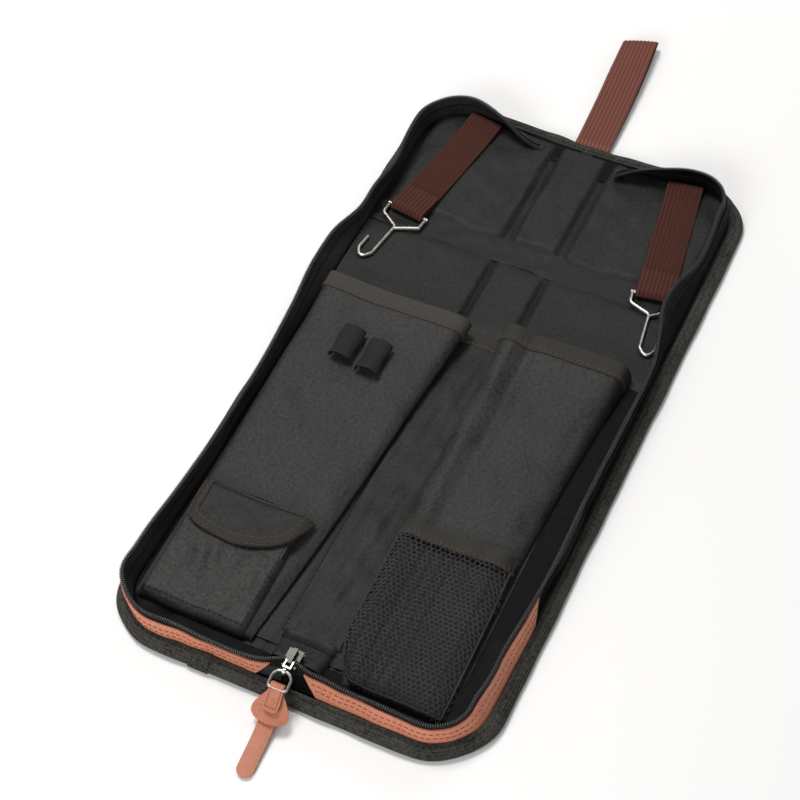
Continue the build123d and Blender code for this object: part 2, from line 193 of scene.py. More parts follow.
def ribbed(name, colour, pitch, contrast, rough=0.7):
    """Elastic or tape with lengthwise ribs and fine cross threads."""
    n = Nodes(name)
    grain = n.weighted((n.wave("Y", pitch), 0.52), (n.wave("X", 0.7), 0.18), (n.noise(1100.0, 2.0), 0.3))
    ramp = n.ramp(grain, [(0.1, scaled(colour, 1 - contrast)), (0.5, colour),
                          (0.92, scaled(colour, 1 + contrast))])
    return n.finish(ramp, rough, grain, 0.22, Sheen_Weight=0.03, Sheen_Roughness=0.4,
                    Specular_IOR_Level=0.12)


def leather(name, colour):
    """Smooth tan leather with pores, creases and paler rubbed patches."""
    n = Nodes(name)
    edge = n.mapped(n.cells(900.0, feature="DISTANCE_TO_EDGE"), 0.0, 0.22, 0.0, 1.0)
    skin = n.weighted((edge, 0.3), (n.noise(1900.0, 3.0), 0.3))
    tone = n.weighted((skin, 1.0), (n.noise(70.0, 5.0, roughness=0.65), 0.55))
    ramp = n.ramp(tone, [(0.2, scaled(colour, 0.62)), (0.55, colour), (0.9, scaled(colour, 1.32))])
    return n.finish(ramp, 0.52, skin, 0.09, Specular_IOR_Level=0.42)


def metal(name, colour, rough, metallic=1.0):
    """Plated metal with fine scratches and slightly dull patches."""
    n = Nodes(name)
    place = n.add("ShaderNodeTexCoord").outputs["Object"]
    dull = n.noise(220.0, 4.0, place)
    ramp = n.ramp(dull, [(0.3, scaled(colour, 0.78)), (0.7, colour)])
    return n.finish(ramp, n.mapped(dull, 0.0, 1.0, rough - 0.1, rough + 0.15),
                    n.noise(1500.0, 2.0, place), 0.02, 0.4, Metallic=metallic)


def fuzzy(name, colour):
    """The looped or hooked face of a fastening patch."""
    n = Nodes(name)
    cells = n.cells(1300.0)
    ramp = n.ramp(cells, [(0.1, scaled(colour, 1.5)), (0.7, scaled(colour, 0.5))])
    return n.finish(ramp, 0.9, cells, 0.5, Sheen_Weight=0.08, Specular_IOR_Level=0.1)


def floor_paper(name, dark, pale):
    n = Nodes(name)
    cloud = n.noise(2.0, 1.0, n.add("ShaderNodeTexCoord").outputs["Object"])
    return n.finish(n.ramp(cloud, [(0.3, dark), (0.7, pale)]), 0.6)


FINE = {"pitch": 0.7, "contrast": 0.8, "sheen": 0.03, "rough": 0.55, "depth": 0.13, "shine": 0.2}
SHELL = woven("shell_cloth", (0.027, 0.026, 0.0225), 1.2, 0.85, 0.03, 0.72, 0.2, 0.16)
BINDING = woven("binding_tape", (0.031, 0.03, 0.0255), 1.5, 0.95, 0.03, 0.76, 0.35, 0.14)
LINING = woven("lining_cloth", (0.012, 0.0116, 0.0112), **{**FINE, "sheen": 0.02, "rough": 0.54})
BAND = woven("band_cloth", (0.01, 0.0101, 0.011), 0.55, 0.5, 0.02, 0.48, 0.1, 0.2)
POCKET = woven("pocket_cloth", (0.0195, 0.019, 0.0185), **FINE)
SMALL_POCKET = woven("small_pocket_cloth", (0.0245, 0.0238, 0.0228), **FINE)
FLAP = woven("flap_cloth", (0.0122, 0.0119, 0.0116), **FINE)
# The black wall cloth in two copies: the left one paler, as painted light on its inner face where the key
# light misses it, the right one darker, as painted shade.
WALL_PAINTED_LIGHT_AND_SHADE = {"left": woven("left_wall_cloth", (0.02, 0.0198, 0.0198), 0.7, 0.6, 0.02, 0.54, 0.1, 0.2),
        "right": woven("right_wall_cloth", (0.003, 0.003, 0.0031), 0.7, 0.6, 0.01, 0.56, 0.1, 0.07)}
HEM = ribbed("hem_tape", (0.033, 0.03, 0.026), 1.1, 0.6)
# The left pocket's mouth tape is a paler copy of the hem tape, as a painted highlight; the right pocket's
# keeps the plain hem tape.
MOUTH_TAPE_WITH_PAINTED_HIGHLIGHT = {"left": ribbed("left_mouth_tape", (0.05, 0.0455, 0.04), 1.1, 0.6), "right": HEM}
TAPE = ribbed("zip_tape", (0.0052, 0.0052, 0.0055), 0.9, 0.5, 0.6)
BROWN = ribbed("brown_elastic", (0.165, 0.06, 0.043), 2.67, 0.5)
# The hanger straps' darker copy of the brown elastic is painted shade, for where they lie low beside the
# walls.
STRAP_PAINTED_SHADE = ribbed("brown_strap", (0.058, 0.0185, 0.0125), 2.67, 0.5)
BLACK = ribbed("black_elastic", (0.018, 0.017, 0.0165), 1.5, 0.6)
LEATHER = leather("tan_leather", (0.43, 0.15, 0.083))
# The trim is a paler copy of the tan leather, as painted light that makes up for the dimmer light on its
# front-facing sides.
TRIM_PAINTED_LIGHT = leather("trim_leather", (0.56, 0.205, 0.117))
THREAD = woven("sewing_thread", (0.006, 0.006, 0.006), 0.3, 0.4)
HEM_THREAD = woven("hem_thread", (0.068, 0.048, 0.038), 0.3, 0.4)
TAN_THREAD = woven("tan_thread", (0.27, 0.082, 0.045), 0.3, 0.4)
MESH = woven("mesh_yarn", (0.026, 0.0255, 0.028), 0.3, 0.5, 0.2)
COIL = metal("zip_coil", (0.045, 0.047, 0.05), 0.42, 0.2)
GUNMETAL = metal("slider_plating", (0.075, 0.072, 0.066), 0.36)
STEEL = metal("plated_metal", (0.42, 0.41, 0.385), 0.32)
WIRE = metal("hook_wire", (0.5, 0.49, 0.46), 0.32)
PATCH = fuzzy("fastening_patch", (0.008, 0.008, 0.0082))
PAPER = floor_paper("paper_floor", (0.85, 0.845, 0.842), (0.87, 0.865, 0.86))

# The thread of a row of stitches, where its slot isn't the dark cover or lining.
THREADS = {"hem_cloth": HEM_THREAD, "binding_tape": HEM_THREAD, "tan_leather": TAN_THREAD}


# ---- shapes in numbers
def smooth(t):
    t = np.clip(t, 0.0, 1.0)
    return t * t * (3 - 2 * t)


def quarter(t):
    """The rise of a quarter circle, steep at 0 and level at 1."""
    return np.sqrt(np.clip(1 - (1 - np.clip(t, 0, 1)) ** 2, 0, 1))


def hump(away, width):
    """A bell that is 1 where away is 0."""
    return np.exp(-(away / width) ** 2)


def eased(x, table):
    """A smooth curve through (x, value) pairs."""
    xs, ys = (np.array(column, float) for column in zip(*sorted(table)))
    slope = np.gradient(ys, xs)
    x = np.clip(np.asarray(x, float), xs[0], xs[-1])
    i = np.clip(np.searchsorted(xs, x) - 1, 0, len(xs) - 2)
    step = xs[i + 1] - xs[i]
    t = (x - xs[i]) / step
    rise = ys[i + 1] - ys[i]
    bend = t * (1 - t) * ((1 - t) * (slope[i] * step - rise) - t * (slope[i + 1] * step - rise))
    return ys[i] + rise * t + bend


def ripple(a, b, seed, size):
    """A gentle uneven surface between about -1 and 1, the same on every run."""
    rng = np.random.default_rng(seed)
    total = 0.0
    for _ in range(9):
        turn, phase = rng.uniform(0, math.tau, 2)
        wave = size * rng.uniform(0.6, 1.9)
        total = total + np.sin((a * math.cos(turn) + b * math.sin(turn)) * math.tau / wave + phase)
    return total / 4.0


def crease(x, y, start, end, width):
    """A soft fold, 1 high on the line from start to end and fading at both of its ends."""
    run = np.subtract(end, start)
    share = np.clip(((x - start[0]) * run[0] + (y - start[1]) * run[1]) / (run @ run), 0, 1)
    away = np.hypot(x - start[0] - share * run[0], y - start[1] - share * run[1])
    return hump(away, width) * np.sin(math.pi * share)


def unit(vectors):
    """The same vectors, each one long."""
    return vectors / np.linalg.norm(vectors, axis=-1, keepdims=True)


def headings(line):
    """The direction of a line at each of its points."""
    return unit(np.gradient(np.asarray(line, float), axis=0))


def travel(line):
    """The distance along a line at each of its points."""
    return np.concatenate([[0.0], np.cumsum(np.linalg.norm(np.diff(line, axis=0), axis=1))])


def resampled(line, step):
    """The same line with points at an even step."""
    line = np.asarray(line, float)
    run = travel(line)
    where = np.linspace(0, run[-1], max(2, int(round(run[-1] / step)) + 1))
    return np.stack([np.interp(where, run, column) for column in line.T], 1)


def smooth_line(points, step):
    """A dense line through points in 3-D, curved at each of them."""
    points = np.asarray(points, float)
    run = travel(points)
    where = np.linspace(0, run[-1], max(8, int(run[-1] / step)))
    return np.stack([eased(where, list(zip(run, column))) for column in points.T], 1)


def plan(xs, ys):
    """X and Y over a grid in plan."""
    return np.meshgrid(xs, ys, indexing="ij")


def wide(directions):
    """Directions in plan, one for each row of a grid."""
    return np.concatenate([directions, np.zeros((len(directions), 1))], 1)[:, None]


def normals_of(points):
    """Unit normals of a grid of points."""
    normal = np.cross(np.gradient(points, axis=0), np.gradient(points, axis=1))
    return normal / np.maximum(np.linalg.norm(normal, axis=2, keepdims=True), 1e-9)


def lengths_uv(points):
    """U and V as distance along the grid's two directions."""
    step_u = np.linalg.norm(np.diff(points, axis=0), axis=2)
    step_v = np.linalg.norm(np.diff(points, axis=1), axis=2)
    u = np.concatenate([np.zeros((1, points.shape[1])), np.cumsum(step_u, 0)])
    v = np.concatenate([np.zeros((points.shape[0], 1)), np.cumsum(step_v, 1)], 1)
    return np.dstack(plan(u.mean(1), v.mean(0)))


# ---- pieces
def fold_blend(obj, sign):
    """The piece's transform is applied to its mesh, the same for either side; nothing bends at the fold."""
    if sign < 0:
        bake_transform(obj)
    else:
        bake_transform(obj)


def make(name, verts, faces, uvs, material, slot, rides, stands_for=(), sharp=40.0):
    """A mesh piece. It rides on the body named, or for the left (-1) or right (1) side has its transform
    applied in place.
    """
    mesh = bpy.data.meshes.new(name)
    mesh.from_pydata((np.asarray(verts, float) * MM).tolist(), [], faces)
    loops = np.empty(len(mesh.loops), np.int32)
    mesh.loops.foreach_get("vertex_index", loops)
    layer = mesh.uv_layers.new(name="cloth")
    layer.data.foreach_set("uv", (np.asarray(uvs, float)[loops] * MM).astype(np.float32).ravel())
    mesh.polygons.foreach_set("use_smooth", np.ones(len(mesh.polygons), bool))
    mesh.set_sharp_from_angle(angle=math.radians(sharp))
    mesh.materials.append(material)
    obj = bpy.data.objects.new(name, mesh)
    bpy.context.scene.collection.objects.link(obj)
    if stands_for:
        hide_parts(*stands_for)
    if isinstance(rides, str):
        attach(obj, rides)
    elif rides is not None:
        fold_blend(obj, rides)
    return obj


def two_sided(name, top, bottom, material, slot, rides, uv=None, **options):
    """A solid between two grids that share their outline, such as cloth or a pad."""
    nu, nv = top.shape[:2]
    count = nu * nv
    corners = [i * nv + j for i in range(nu - 1) for j in range(nv - 1)]
    faces = [[k, k + nv, k + nv + 1, k + 1] for k in corners]
    faces += [[k + count for k in face[::-1]] for face in faces]
    for run, turned in ((range(0, count, nv), True), (range(nv - 1, count, nv), False),
                        (range(nv), False), (range(count - nv, count), True)):
        for a, b in zip(run, run[1:]):
            quad = [a, b, b + count, a + count]
            faces.append(quad if turned else quad[::-1])
    uvs = (lengths_uv(top) if uv is None else uv).reshape(-1, 2)
    verts = np.concatenate([top.reshape(-1, 3), bottom.reshape(-1, 3)])
    return make(name, verts, faces, np.concatenate([uvs, uvs]), material, slot, rides, **options)


def cloth(name, points, thickness, material, slot, rides, *stands_for, sharp=40.0, facing=UP):
    """Cloth of a given thickness behind a grid of points, its face turned towards facing."""
    if np.sum(normals_of(points) * np.asarray(facing)) < 0:
        points = points[:, ::-1]
    return two_sided(name, points, points - thickness * normals_of(points), material, slot, rides,
                     stands_for=stands_for, sharp=sharp)


def tube(name, path, radius, material, slot, rides):
    """A six-sided cord along a path, closed at its two ends."""
    along = headings(path)
    up = unit(np.cross(along, np.array([0.31, 0.17, 0.93])))
    side = np.cross(along, up)
    turn = np.linspace(0, math.tau, 6, endpoint=False)
    ring = up[:, None] * np.cos(turn)[None, :, None] + side[:, None] * np.sin(turn)[None, :, None]
    verts = (path[:, None] + ring * radius).reshape(-1, 3)
    last = (len(path) - 1) * 6
    faces = [[i + j, i + (j + 1) % 6, i + 6 + (j + 1) % 6, i + 6 + j]
             for i in range(0, last, 6) for j in range(6)]
    faces += [list(range(6))[::-1], list(range(last, last + 6))]
    uvs = [(i, angle * radius) for i in range(len(path)) for angle in turn]
    return make(name, verts, faces, uvs, material, slot, rides, sharp=60.0)


def bead(length, width, height):
    """Corners (along, side, up) and faces of a lozenge, six-sided and pinched at its two ends."""
    corners = []
    for share, size in ((-0.5, 0.45), (-0.28, 1.0), (0.28, 1.0), (0.5, 0.45)):
        for k in range(6):
            turn = math.tau * k / 6
            corners.append((share * length, math.cos(turn) * width / 2 * size,
                            math.sin(turn) * height / 2 * size))
    faces = [[r * 6 + k, r * 6 + (k + 1) % 6, r * 6 + 6 + (k + 1) % 6, r * 6 + 6 + k]
             for r in range(3) for k in range(6)]
    return corners, faces + [list(range(6))[::-1], list(range(18, 24))]


def bead_rows(name, path, side, up, shape, material, slot, rides, *stands_for):
    """A copy of one bead at each point of a path."""
    corners, bead_faces = shape
    verts = [p + a * c[0] + s * c[1] + u * c[2]
             for p, a, s, u in zip(path, headings(path), side, up) for c in corners]
    faces = [[i * len(corners) + k for k in face] for i in range(len(path)) for face in bead_faces]
    uvs = [(c[0] + i, c[1]) for i in range(len(path)) for c in corners]
    return make(name, verts, faces, uvs, material, slot, rides, stands_for, 50.0)


def stitches(name, line, slot, rides, normal=UP, pitch=3.6, length=2.5, width=0.65):
    """A row of stitches on a line, standing a little out of the cloth along its normal."""
    path = resampled(np.hstack([line, np.broadcast_to(normal, line.shape)]), pitch)
    place, up = path[:, :3], unit(path[:, 3:])
    side = unit(np.cross(up, np.gradient(place, axis=0)))
    bead_rows(name, place + up * 0.08, side, up, bead(length, width, 0.6), THREADS.get(slot, THREAD),
              slot, rides)


# ---- the outline of a half
def settle(x, y, sign):
    """The cloth edge as it lies: sunk at the top of the spine, and drawn in at the corners."""
    y = y - 2.4 * hump(x, 42.0) * smooth((y - 205.0) / 25.0)
    foot, top = (2.9, 1.8) if sign > 0 else (0.9, 0.6)
    foot = foot * hump(np.abs(x) - 112.0, 24.0) * hump(y + 228.0, 24.0)
    top = top * hump(np.abs(x) - 112.0, 20.0) * hump(y - 228.0, 20.0)
    return x - np.sign(x) * 0.7 * (foot + top), y + 0.7 * (foot - top)


def half_outline(sign, inset, x_start=0.0, step=2.5):
    """The half's outline from the top of the spine round to its bottom, with outward directions."""
    radius, length, width = CORNER - inset, LENGTH - inset, WIDTH - inset
    points = [(x_start, length), (width - radius, length)]
    for centre_y, first in ((length - radius, 90.0), (-length + radius, 0.0)):
        for k in range(1, 13):
            turn = math.radians(first - 90.0 * k / 12)
            points.append((width - radius + radius * math.cos(turn), centre_y + radius * math.sin(turn)))
        if first == 90.0:
            points.append((width, -length + radius))
    points.append((x_start, -length))
    points = resampled(points, step)
    points = np.stack(settle(points[:, 0], points[:, 1], sign), 1)
    along = headings(points)
    out = np.stack([-along[:, 1], along[:, 0]], 1)
    flip = np.array([sign, 1.0])
    return points * flip, out * flip


def on_outline(points, out, profile):
    """A grid from a line in plan and a profile of (outward, height) pairs."""
    profile = np.asarray(profile, float)
    flat = points[:, None] + out[:, None] * profile[None, :, :1]
    height = np.broadcast_to(profile[None, :, 1:], (len(points), len(profile), 1))
    return np.concatenate([flat, height], 2)


# ---- padded shell and its binding
def shell_grid(sign, inset, rows=170, columns=74, near_fold=28):
    """X and Y over a half and its side of the spine, out to the rounded outline."""
    length, width, radius = LENGTH - inset, WIDTH - inset, CORNER - inset
    y = np.sin(np.linspace(-math.pi / 2, math.pi / 2, rows)) * length
    y = 0.35 * y + 0.65 * np.linspace(-length, length, rows)
    over = np.clip(np.abs(y) - (length - radius), 0, radius)
    x_edge = width - radius + np.sqrt(np.maximum(radius ** 2 - over ** 2, 0))
    across = np.concatenate([np.linspace(0, 0.24, near_fold)[:-1],
                             np.linspace(0.24, 1, columns - near_fold + 1)])
    return sign * x_edge[:, None] * across[None, :], np.repeat(y[:, None], columns, 1), x_edge


def lining_height(x, y):
    """The inside's surface: soft pads above the slip pocket, flat below it."""
    a = np.abs(x)
    pad_end = 129.5 + 1.8 * np.cos(x / 12.0)
    along = smooth((y - pad_end) / 2.6) * smooth((229.0 - y) / 7.0)
    half_pad = smooth((a - SPINE_SEAM - 0.5) / 6.0) * smooth((109.0 - a) / 9.0)
    column = np.where(a < SPINE_SEAM, smooth((SPINE_SEAM - 0.5 - a) / 5.4), half_pad)
    sag = 0.86 + 0.14 * np.cos((y - 178.0) / 24.0)
    soft = 0.5 * ripple(x, y, 3, 40.0) + 0.4 * ripple(x, y, 4, 13.0)
    return 4.0 + along * (0.5 + 3.7 * column * sag + soft * (0.3 + 0.7 * column))


def padded_shell(side, sign):
    """Cover, foam and lining of a half and its side of the spine, as one soft pad."""
    inset = 0.7
    x, y, x_edge = shell_grid(sign, inset)
    edge = np.minimum(x_edge[:, None] - np.abs(x), LENGTH - inset - np.abs(y))
    x, y = settle(x, y, sign)
    roll = 1 - quarter(edge / 2.2)
    seam = 0.7 * hump(np.abs(x) - FOLD, 1.6)
    flange = smooth((14.0 - edge) / 3.0)
    sag = 0.25 * smooth((edge - 8.0) / 20.0) * (1 + ripple(x, y, 5, 60.0)) * 0.5
    high = lining_height(x, y) - seam * (y < 132) + 0.15 * flange - roll * 2.0
    low = 0.35 + roll * 1.6 + seam + sag
    top, bottom = (np.dstack([x, y, z])[::-int(sign)] for z in (high, low))
    nodes = [f"{side}_outer_cover", f"{side}_foam_board", f"{side}_lining"]
    nodes += ["spine_outer_cover", "spine_lining"] if sign < 0 else ["spine_foam_board"]
    shell = two_sided(f"{side}_padded_shell", top, bottom, LINING, "cover_cloth", sign,
                      top[:, :, :2], stands_for=nodes, sharp=60.0)
    shell.data.materials.append(SHELL)
    # the outer cover's cloth below mid height and wherever a face looks sideways or down
    below = np.array([p.center[2] < 2.1 * MM or p.normal[2] < 0.2 for p in shell.data.polygons])
    shell.data.polygons.foreach_set("material_index", below.astype(np.int32))


EDGE_PROFILE = [(-8.0, 0.1), (-4.0, 0.0), (-1.2, 0.0), (-0.2, 0.9), (0.5, 2.4), (-0.1, 4.2), (-1.4, 5.1),
                (-3.0, 5.5), (-4.4, 5.2), (-5.0, 4.8), (-5.8, 5.1), (-7.4, 5.0)]


def bound_edge(side, sign):
    """The tape folded over the edges of cover and lining, tilted up a little towards the foot."""
    points, out = half_outline(sign, 0.0)
    grid = on_outline(points, out, EDGE_PROFILE)
    wave = 0.35 * ripple(points[:, 0], points[:, 1], 8, 30.0)[:, None]
    foot_tilt, tilt = (3.4, 0.6) if sign < 0 else (2.0, 1.2)
    tilt = foot_tilt * smooth((-135.0 - points[:, 1]) / 50.0) + tilt
    tilt = tilt * smooth((195.0 - points[:, 1]) / 25.0)
    share = smooth((-0.4 - np.array([offset for offset, _ in EDGE_PROFILE[6:]])) / 6.0)
    grid[:, 6:, 2] += tilt[:, None] * share[None]
    grid[:, 4:9, 2] += wave * 0.8
    grid[:, 4:6, :2] += (out * wave)[:, None]
    spine_end = "spine_binding_top" if sign < 0 else "spine_binding_bottom"
    cloth(f"{side}_bound_edge", grid, 0.6, BINDING, "binding_tape", sign, f"{side}_edge_binding", spine_end,
          sharp=75.0, facing=wide(out))
    stitches(f"{side}_bound_edge_stitches", grid[:, 9], "cover_cloth", sign)
    if sign < 0:
        # where the binding's two ends overlap
        x, y = grid[:, 4, 0], grid[:, 4, 1]
        over = grid[(y < -225) & (-58 < x) & (x < -44), 3:]
        normal = normals_of(over)
        normal *= -np.sign(np.sum(normal[:, 3, 1]))
        cloth("left_bound_edge_lap", over + normal * 0.9, 0.8, BINDING, "binding_tape", "left_half",
              sharp=75.0, facing=(0, -1.0, 0))


# ---- standing wall with its zip
# How far the rim stands outside the wall's foot: along the side by y, along the two ends by x.
# The rise is the rim's height along the top end by x.
LEAN = {
    "left": {
        "side": [(-237, 2), (-215, 5), (-205, 6.5), (-195, 5), (-180, 4.5), (-133, 1.2), (-91, 0),
                 (-40, 0.8), (7, 4), (55, 8.5), (80, 7.5), (102, 1), (125, 1), (150, -2), (174, 1),
                 (199, 2), (215, 0), (237, -2)],
        "top": [(22, -9), (30, -12), (38, -14), (60, -9), (80, -2), (95, -1), (120, 0)],
        "bottom": [(2, -9.5), (5, -8), (9, -4.3), (18, -1), (40, 0.5), (77, -1.3), (100, 2), (120, 4)],
        "rise": [(22, 5.6), (32, 9.0), (44, 15.0), (56, 20.4), (66, RIM), (120, RIM)],
    },
    "right": {
        "side": [(-237, -4), (-214, -6), (-203, -8), (-186, -6), (-164, -6), (-142, -4), (-101, -2),
                 (-55, -2.5), (8, -2), (66, -3), (90, -8.5), (106, -13), (127, -12.5), (150, -6), (175, -6),
                 (204, -8), (220, -6), (237, -4)],
        "top": [(22, -20), (30, -17), (45, -12), (58, -8), (73, -2.5), (90, -2), (120, -5)],
        "bottom": [(2, -9.5), (5, -8), (9, -5), (18, -5), (36, -3.3), (57, -3.2), (75, -2.3), (90, -2),
                   (120, -4)],
        "rise": [(22, 8.0), (30, 14.5), (38, 18.5), (48, 21.2), (60, RIM), (120, RIM)],
    },
}


def running_mean(values, reach):
    """Each value evened out with the ones up to reach places away."""
    count = 2 * reach + 1
    return np.convolve(np.pad(values, reach, mode="edge"), np.ones(count) / count, mode="valid")


def wall_lines(side, sign):
    """Foot and rim of the wall, point by point, the outward direction and the rim's height."""
    foot, out = half_outline(sign, 9.2, 3.2, 2.0)
    keep = (foot[:, 1] < 0) | (np.abs(foot[:, 0]) > 23.5)
    foot, out = foot[keep], out[keep]
    ax, y = np.abs(foot[:, 0]), foot[:, 1]
    table = LEAN[side]
    share = smooth((np.abs(y) - 200.0) / 24.0)
    ends = np.where(y > 0, eased(ax, table["top"]), eased(ax, table["bottom"]))
    lean = running_mean((1 - share) * eased(y, table["side"]) + share * ends, 3)
    height = np.where(y > 0, eased(ax, table["rise"]), RIM)
    height = height + 0.5 * ripple(foot[:, 0], foot[:, 1], 21 if sign < 0 else 22, 60.0)
    return foot, foot + out * lean[:, None], out, np.minimum(height, RIM + 0.5)


def wall_point(lines, share, offset):
    """Points at a share of the wall's height, standing off its face; the cloth bows as it rises."""
    foot, rim, out, height = lines
    bow = 1.1 * ripple(foot[:, 0], foot[:, 1], 31, 42.0) + 0.3 * ripple(foot[:, 0], foot[:, 1], 32, 13.0)
    bow = bow * math.sin(math.pi * share)
    curved = smooth(share) * 0.5 + share * 0.5
    flat = foot + (rim - foot) * curved + out * (bow + offset)[:, None]
    z = WALL_FOOT + (height - WALL_FOOT) * share
    return np.concatenate([flat, z[:, None]], 1)


def wall_strip(lines, low, high, offset, count):
    """A grid on the wall between two shares of its height."""
    return np.stack([wall_point(lines, share, offset) for share in np.linspace(low, high, count)], 1)


def standing_wall(side, sign):
    """The wall's cloth, and its foot, turned in and sewn down as a strip round the tray that is darkened as
    painted shade.
    """
    lines = wall_lines(side, sign)
    # the left wall's cloth carries painted light and the right wall's carries painted shade
    cloth(f"{side}_standing_wall", wall_strip(lines, 0.0, 1.0, 0.0, 12), 1.0, WALL_PAINTED_LIGHT_AND_SHADE[side], "gusset_cloth",
          sign, f"{side}_gusset_wall", facing=wide(lines[2]))
    # The foot strip takes the darkest wall cloth on both sides and is laid wider on the right, as painted
    # shade in the trough between the pockets and the wall.
    foot, out = half_outline(sign, 9.6, 4.0)
    strip_width = 14.0 if sign < 0 else 19.0
    turned_in = [(-0.2, 7.4), (-0.9, 6.4), (-2.2, 6.0), (-6.0, 5.9), (-10.0, 5.95), (-strip_width, 5.9),
                 (-strip_width - 0.6, 5.3)]
    margin = on_outline(foot, out, turned_in)
    margin[:, 2:6, 2] += 0.25 * ripple(margin[:, 2:6, 0], margin[:, 2:6, 1], 23, 24.0)
    cloth(f"{side}_wall_foot_painted_shade", margin, 0.5, WALL_PAINTED_LIGHT_AND_SHADE["right"], "gusset_cloth", sign)


def zip_tape(side, sign):
    """The tape outside the wall's rim, and its sewn edge inside the wall and above the leather."""
    lines = wall_lines(side, sign)
    cloth(f"{side}_zip_tape", wall_strip(lines, 0.66, 1.0, 0.75, 6), 0.7, TAPE, "zipper_tape", sign,
          f"{side}_zipper_tape", facing=wide(lines[2]))
    for label, offset, lowest in (("inner", -1.15, -240.0), ("outer", 1.35, -116.0)):
        ridge = wall_point(lines, 0.67, offset)
        tube(f"{side}_zip_tape_{label}_seam", ridge[ridge[:, 1] > lowest], 0.5, TAPE, "zipper_tape", sign)


def wall_tuck(side, sign):
    """The wall's top end, bunched where it is sewn down beside the spine."""
    s, t = plan(np.linspace(0, 1, 22), np.linspace(0, 1, 20))
    lump = np.sin(math.pi * s) * np.sin(math.pi * t) ** 0.6 * (1 + 0.4 * np.sin(8 * s + 5 * t))
    centre_y = 218.5 if sign < 0 else 215.0
    bunch = np.dstack([sign * (19.5 + 15.0 * s + 1.5 * t), centre_y + 11.0 * (t - 0.5) - 3.0 * s,
                       4.2 + 3.6 * lump])
    cloth(f"{side}_wall_tuck", bunch, 0.7, WALL_PAINTED_LIGHT_AND_SHADE[side], "gusset_cloth", sign)


def zip_coil(side, sign):
    """The coil of the zip on the rim, one bead for each tooth, with its core."""
    lines = wall_lines(side, sign)
    rail = resampled(np.hstack([wall_point(lines, 1.0, 0.3), wide(lines[2])[:, 0]]), 1.35)
    place, away = rail[:, :3] + (0, 0, 0.1), unit(rail[:, 3:])
    corners, faces = bead(2.5, 0.8, 1.3)
    tooth = [(c[1], c[0], c[2]) for c in corners], [face[::-1] for face in faces]
    bead_rows(f"{side}_zip_coil", place, away, np.broadcast_to(UP, place.shape), tooth, COIL, "zipper_coil",
              sign, f"{side}_zipper_teeth")
    tube(f"{side}_zip_coil_core", (place - (0, 0, 0.25))[::2], 0.55, TAPE, "zipper_tape", sign)


def leather_strip(side, sign):
    """Leather trim round the lower corner, its two ends cut on a slant."""
    lines = wall_lines(side, sign)
    ax, y = np.abs(lines[0][:, 0]), lines[0][:, 1]
    lines = tuple(part[(y < -120.0) & ((ax > 9.0) | (y > -200))] for part in lines)
    grid = wall_strip(lines, 0.0, 0.84, 1.7, 9)
    run = travel(lines[0])
    slanted = np.empty_like(grid)
    for j, share in enumerate(np.linspace(0, 1, grid.shape[1])):
        start, end = run[-1] - 1.0 - 11.0 * (1 - share), 13.0 - 12.0 * share
        where = np.linspace(start, end, len(run))
        slanted[:, j] = np.stack([np.interp(where, run, column) for column in grid[:, j].T], 1)
    facing = wide(lines[2])[::-1]
    # the trim takes the paler leather copy, as painted light
    cloth(f"{side}_leather_strip", slanted, 1.1, TRIM_PAINTED_LIGHT, "tan_leather", sign, f"{side}_leather_trim",
          sharp=50.0, facing=facing)
    normal = facing[2:-2, 0]
    for row, label in ((4, "lower"), (6, "upper")):
        stitches(f"{side}_leather_strip_{label}_stitches", slanted[2:-2, row] + normal * 0.05, "tan_leather",
                 sign, normal)


# ---- flat pocket behind the others
def slip_pocket(side, sign):
    """The flat pocket's panel with its wide band, and the seams beside the spine."""
    steps = np.concatenate([np.linspace(0.0, 28.0, 34)[:-1], np.linspace(28.0, 109.0, 27)])
    x, y = plan(sign * steps, np.linspace(-206.0, 131.5, 90))
    uneven = 0.4 * ripple(x, y, 41, 50.0) + 0.2 * ripple(x, y, 42, 16.0)
    groove = np.abs(np.abs(x) - SPINE_SEAM)
    z = 5.1 + uneven * smooth((np.abs(x) - 24) / 14) - 0.4 * hump(groove, 1.5)
    z = z + 2.2 * smooth(groove / 4.5) * smooth((y - 44.0) / 12.0) * smooth((113.0 - y) / 6.0)
    spine_panel = ["spine_slip_pocket"] if sign < 0 else []
    panel = cloth(f"{side}_slip_panel", np.dstack([x, y, z]), 0.7, LINING, "lining_cloth", sign,
                  f"{side}_slip_pocket", *spine_panel)

    x, y = plan(sign * steps, np.linspace(111.0, 132.0, 15))
    y = y + 0.8 * np.cos(x / 9)
    z = 5.9 + 0.25 * ripple(x, y, 43, 14.0)
    spine_band = ["spine_slip_pocket_band"] if sign < 0 else []
    cloth(f"{side}_slip_panel_band", np.dstack([x, y, z]), 0.6, BAND, "hem_cloth", sign,
          f"{side}_slip_pocket_band", *spine_band)

    y = np.linspace(-195.0, 110.0, 150)
    x = np.full(150, sign * SPINE_SEAM)
    stitches(f"{side}_spine_seam", np.stack([x, y, np.full(150, 5.05)], 1), "lining_cloth", "spine")
    y = np.linspace(136.0, 222.0, 60)
    x = np.full(60, sign * SPINE_SEAM)
    line = np.stack([x, y, lining_height(np.abs(x), y) + 0.1], 1)
    stitches(f"{side}_upper_spine_seam", line, "lining_cloth", "spine")


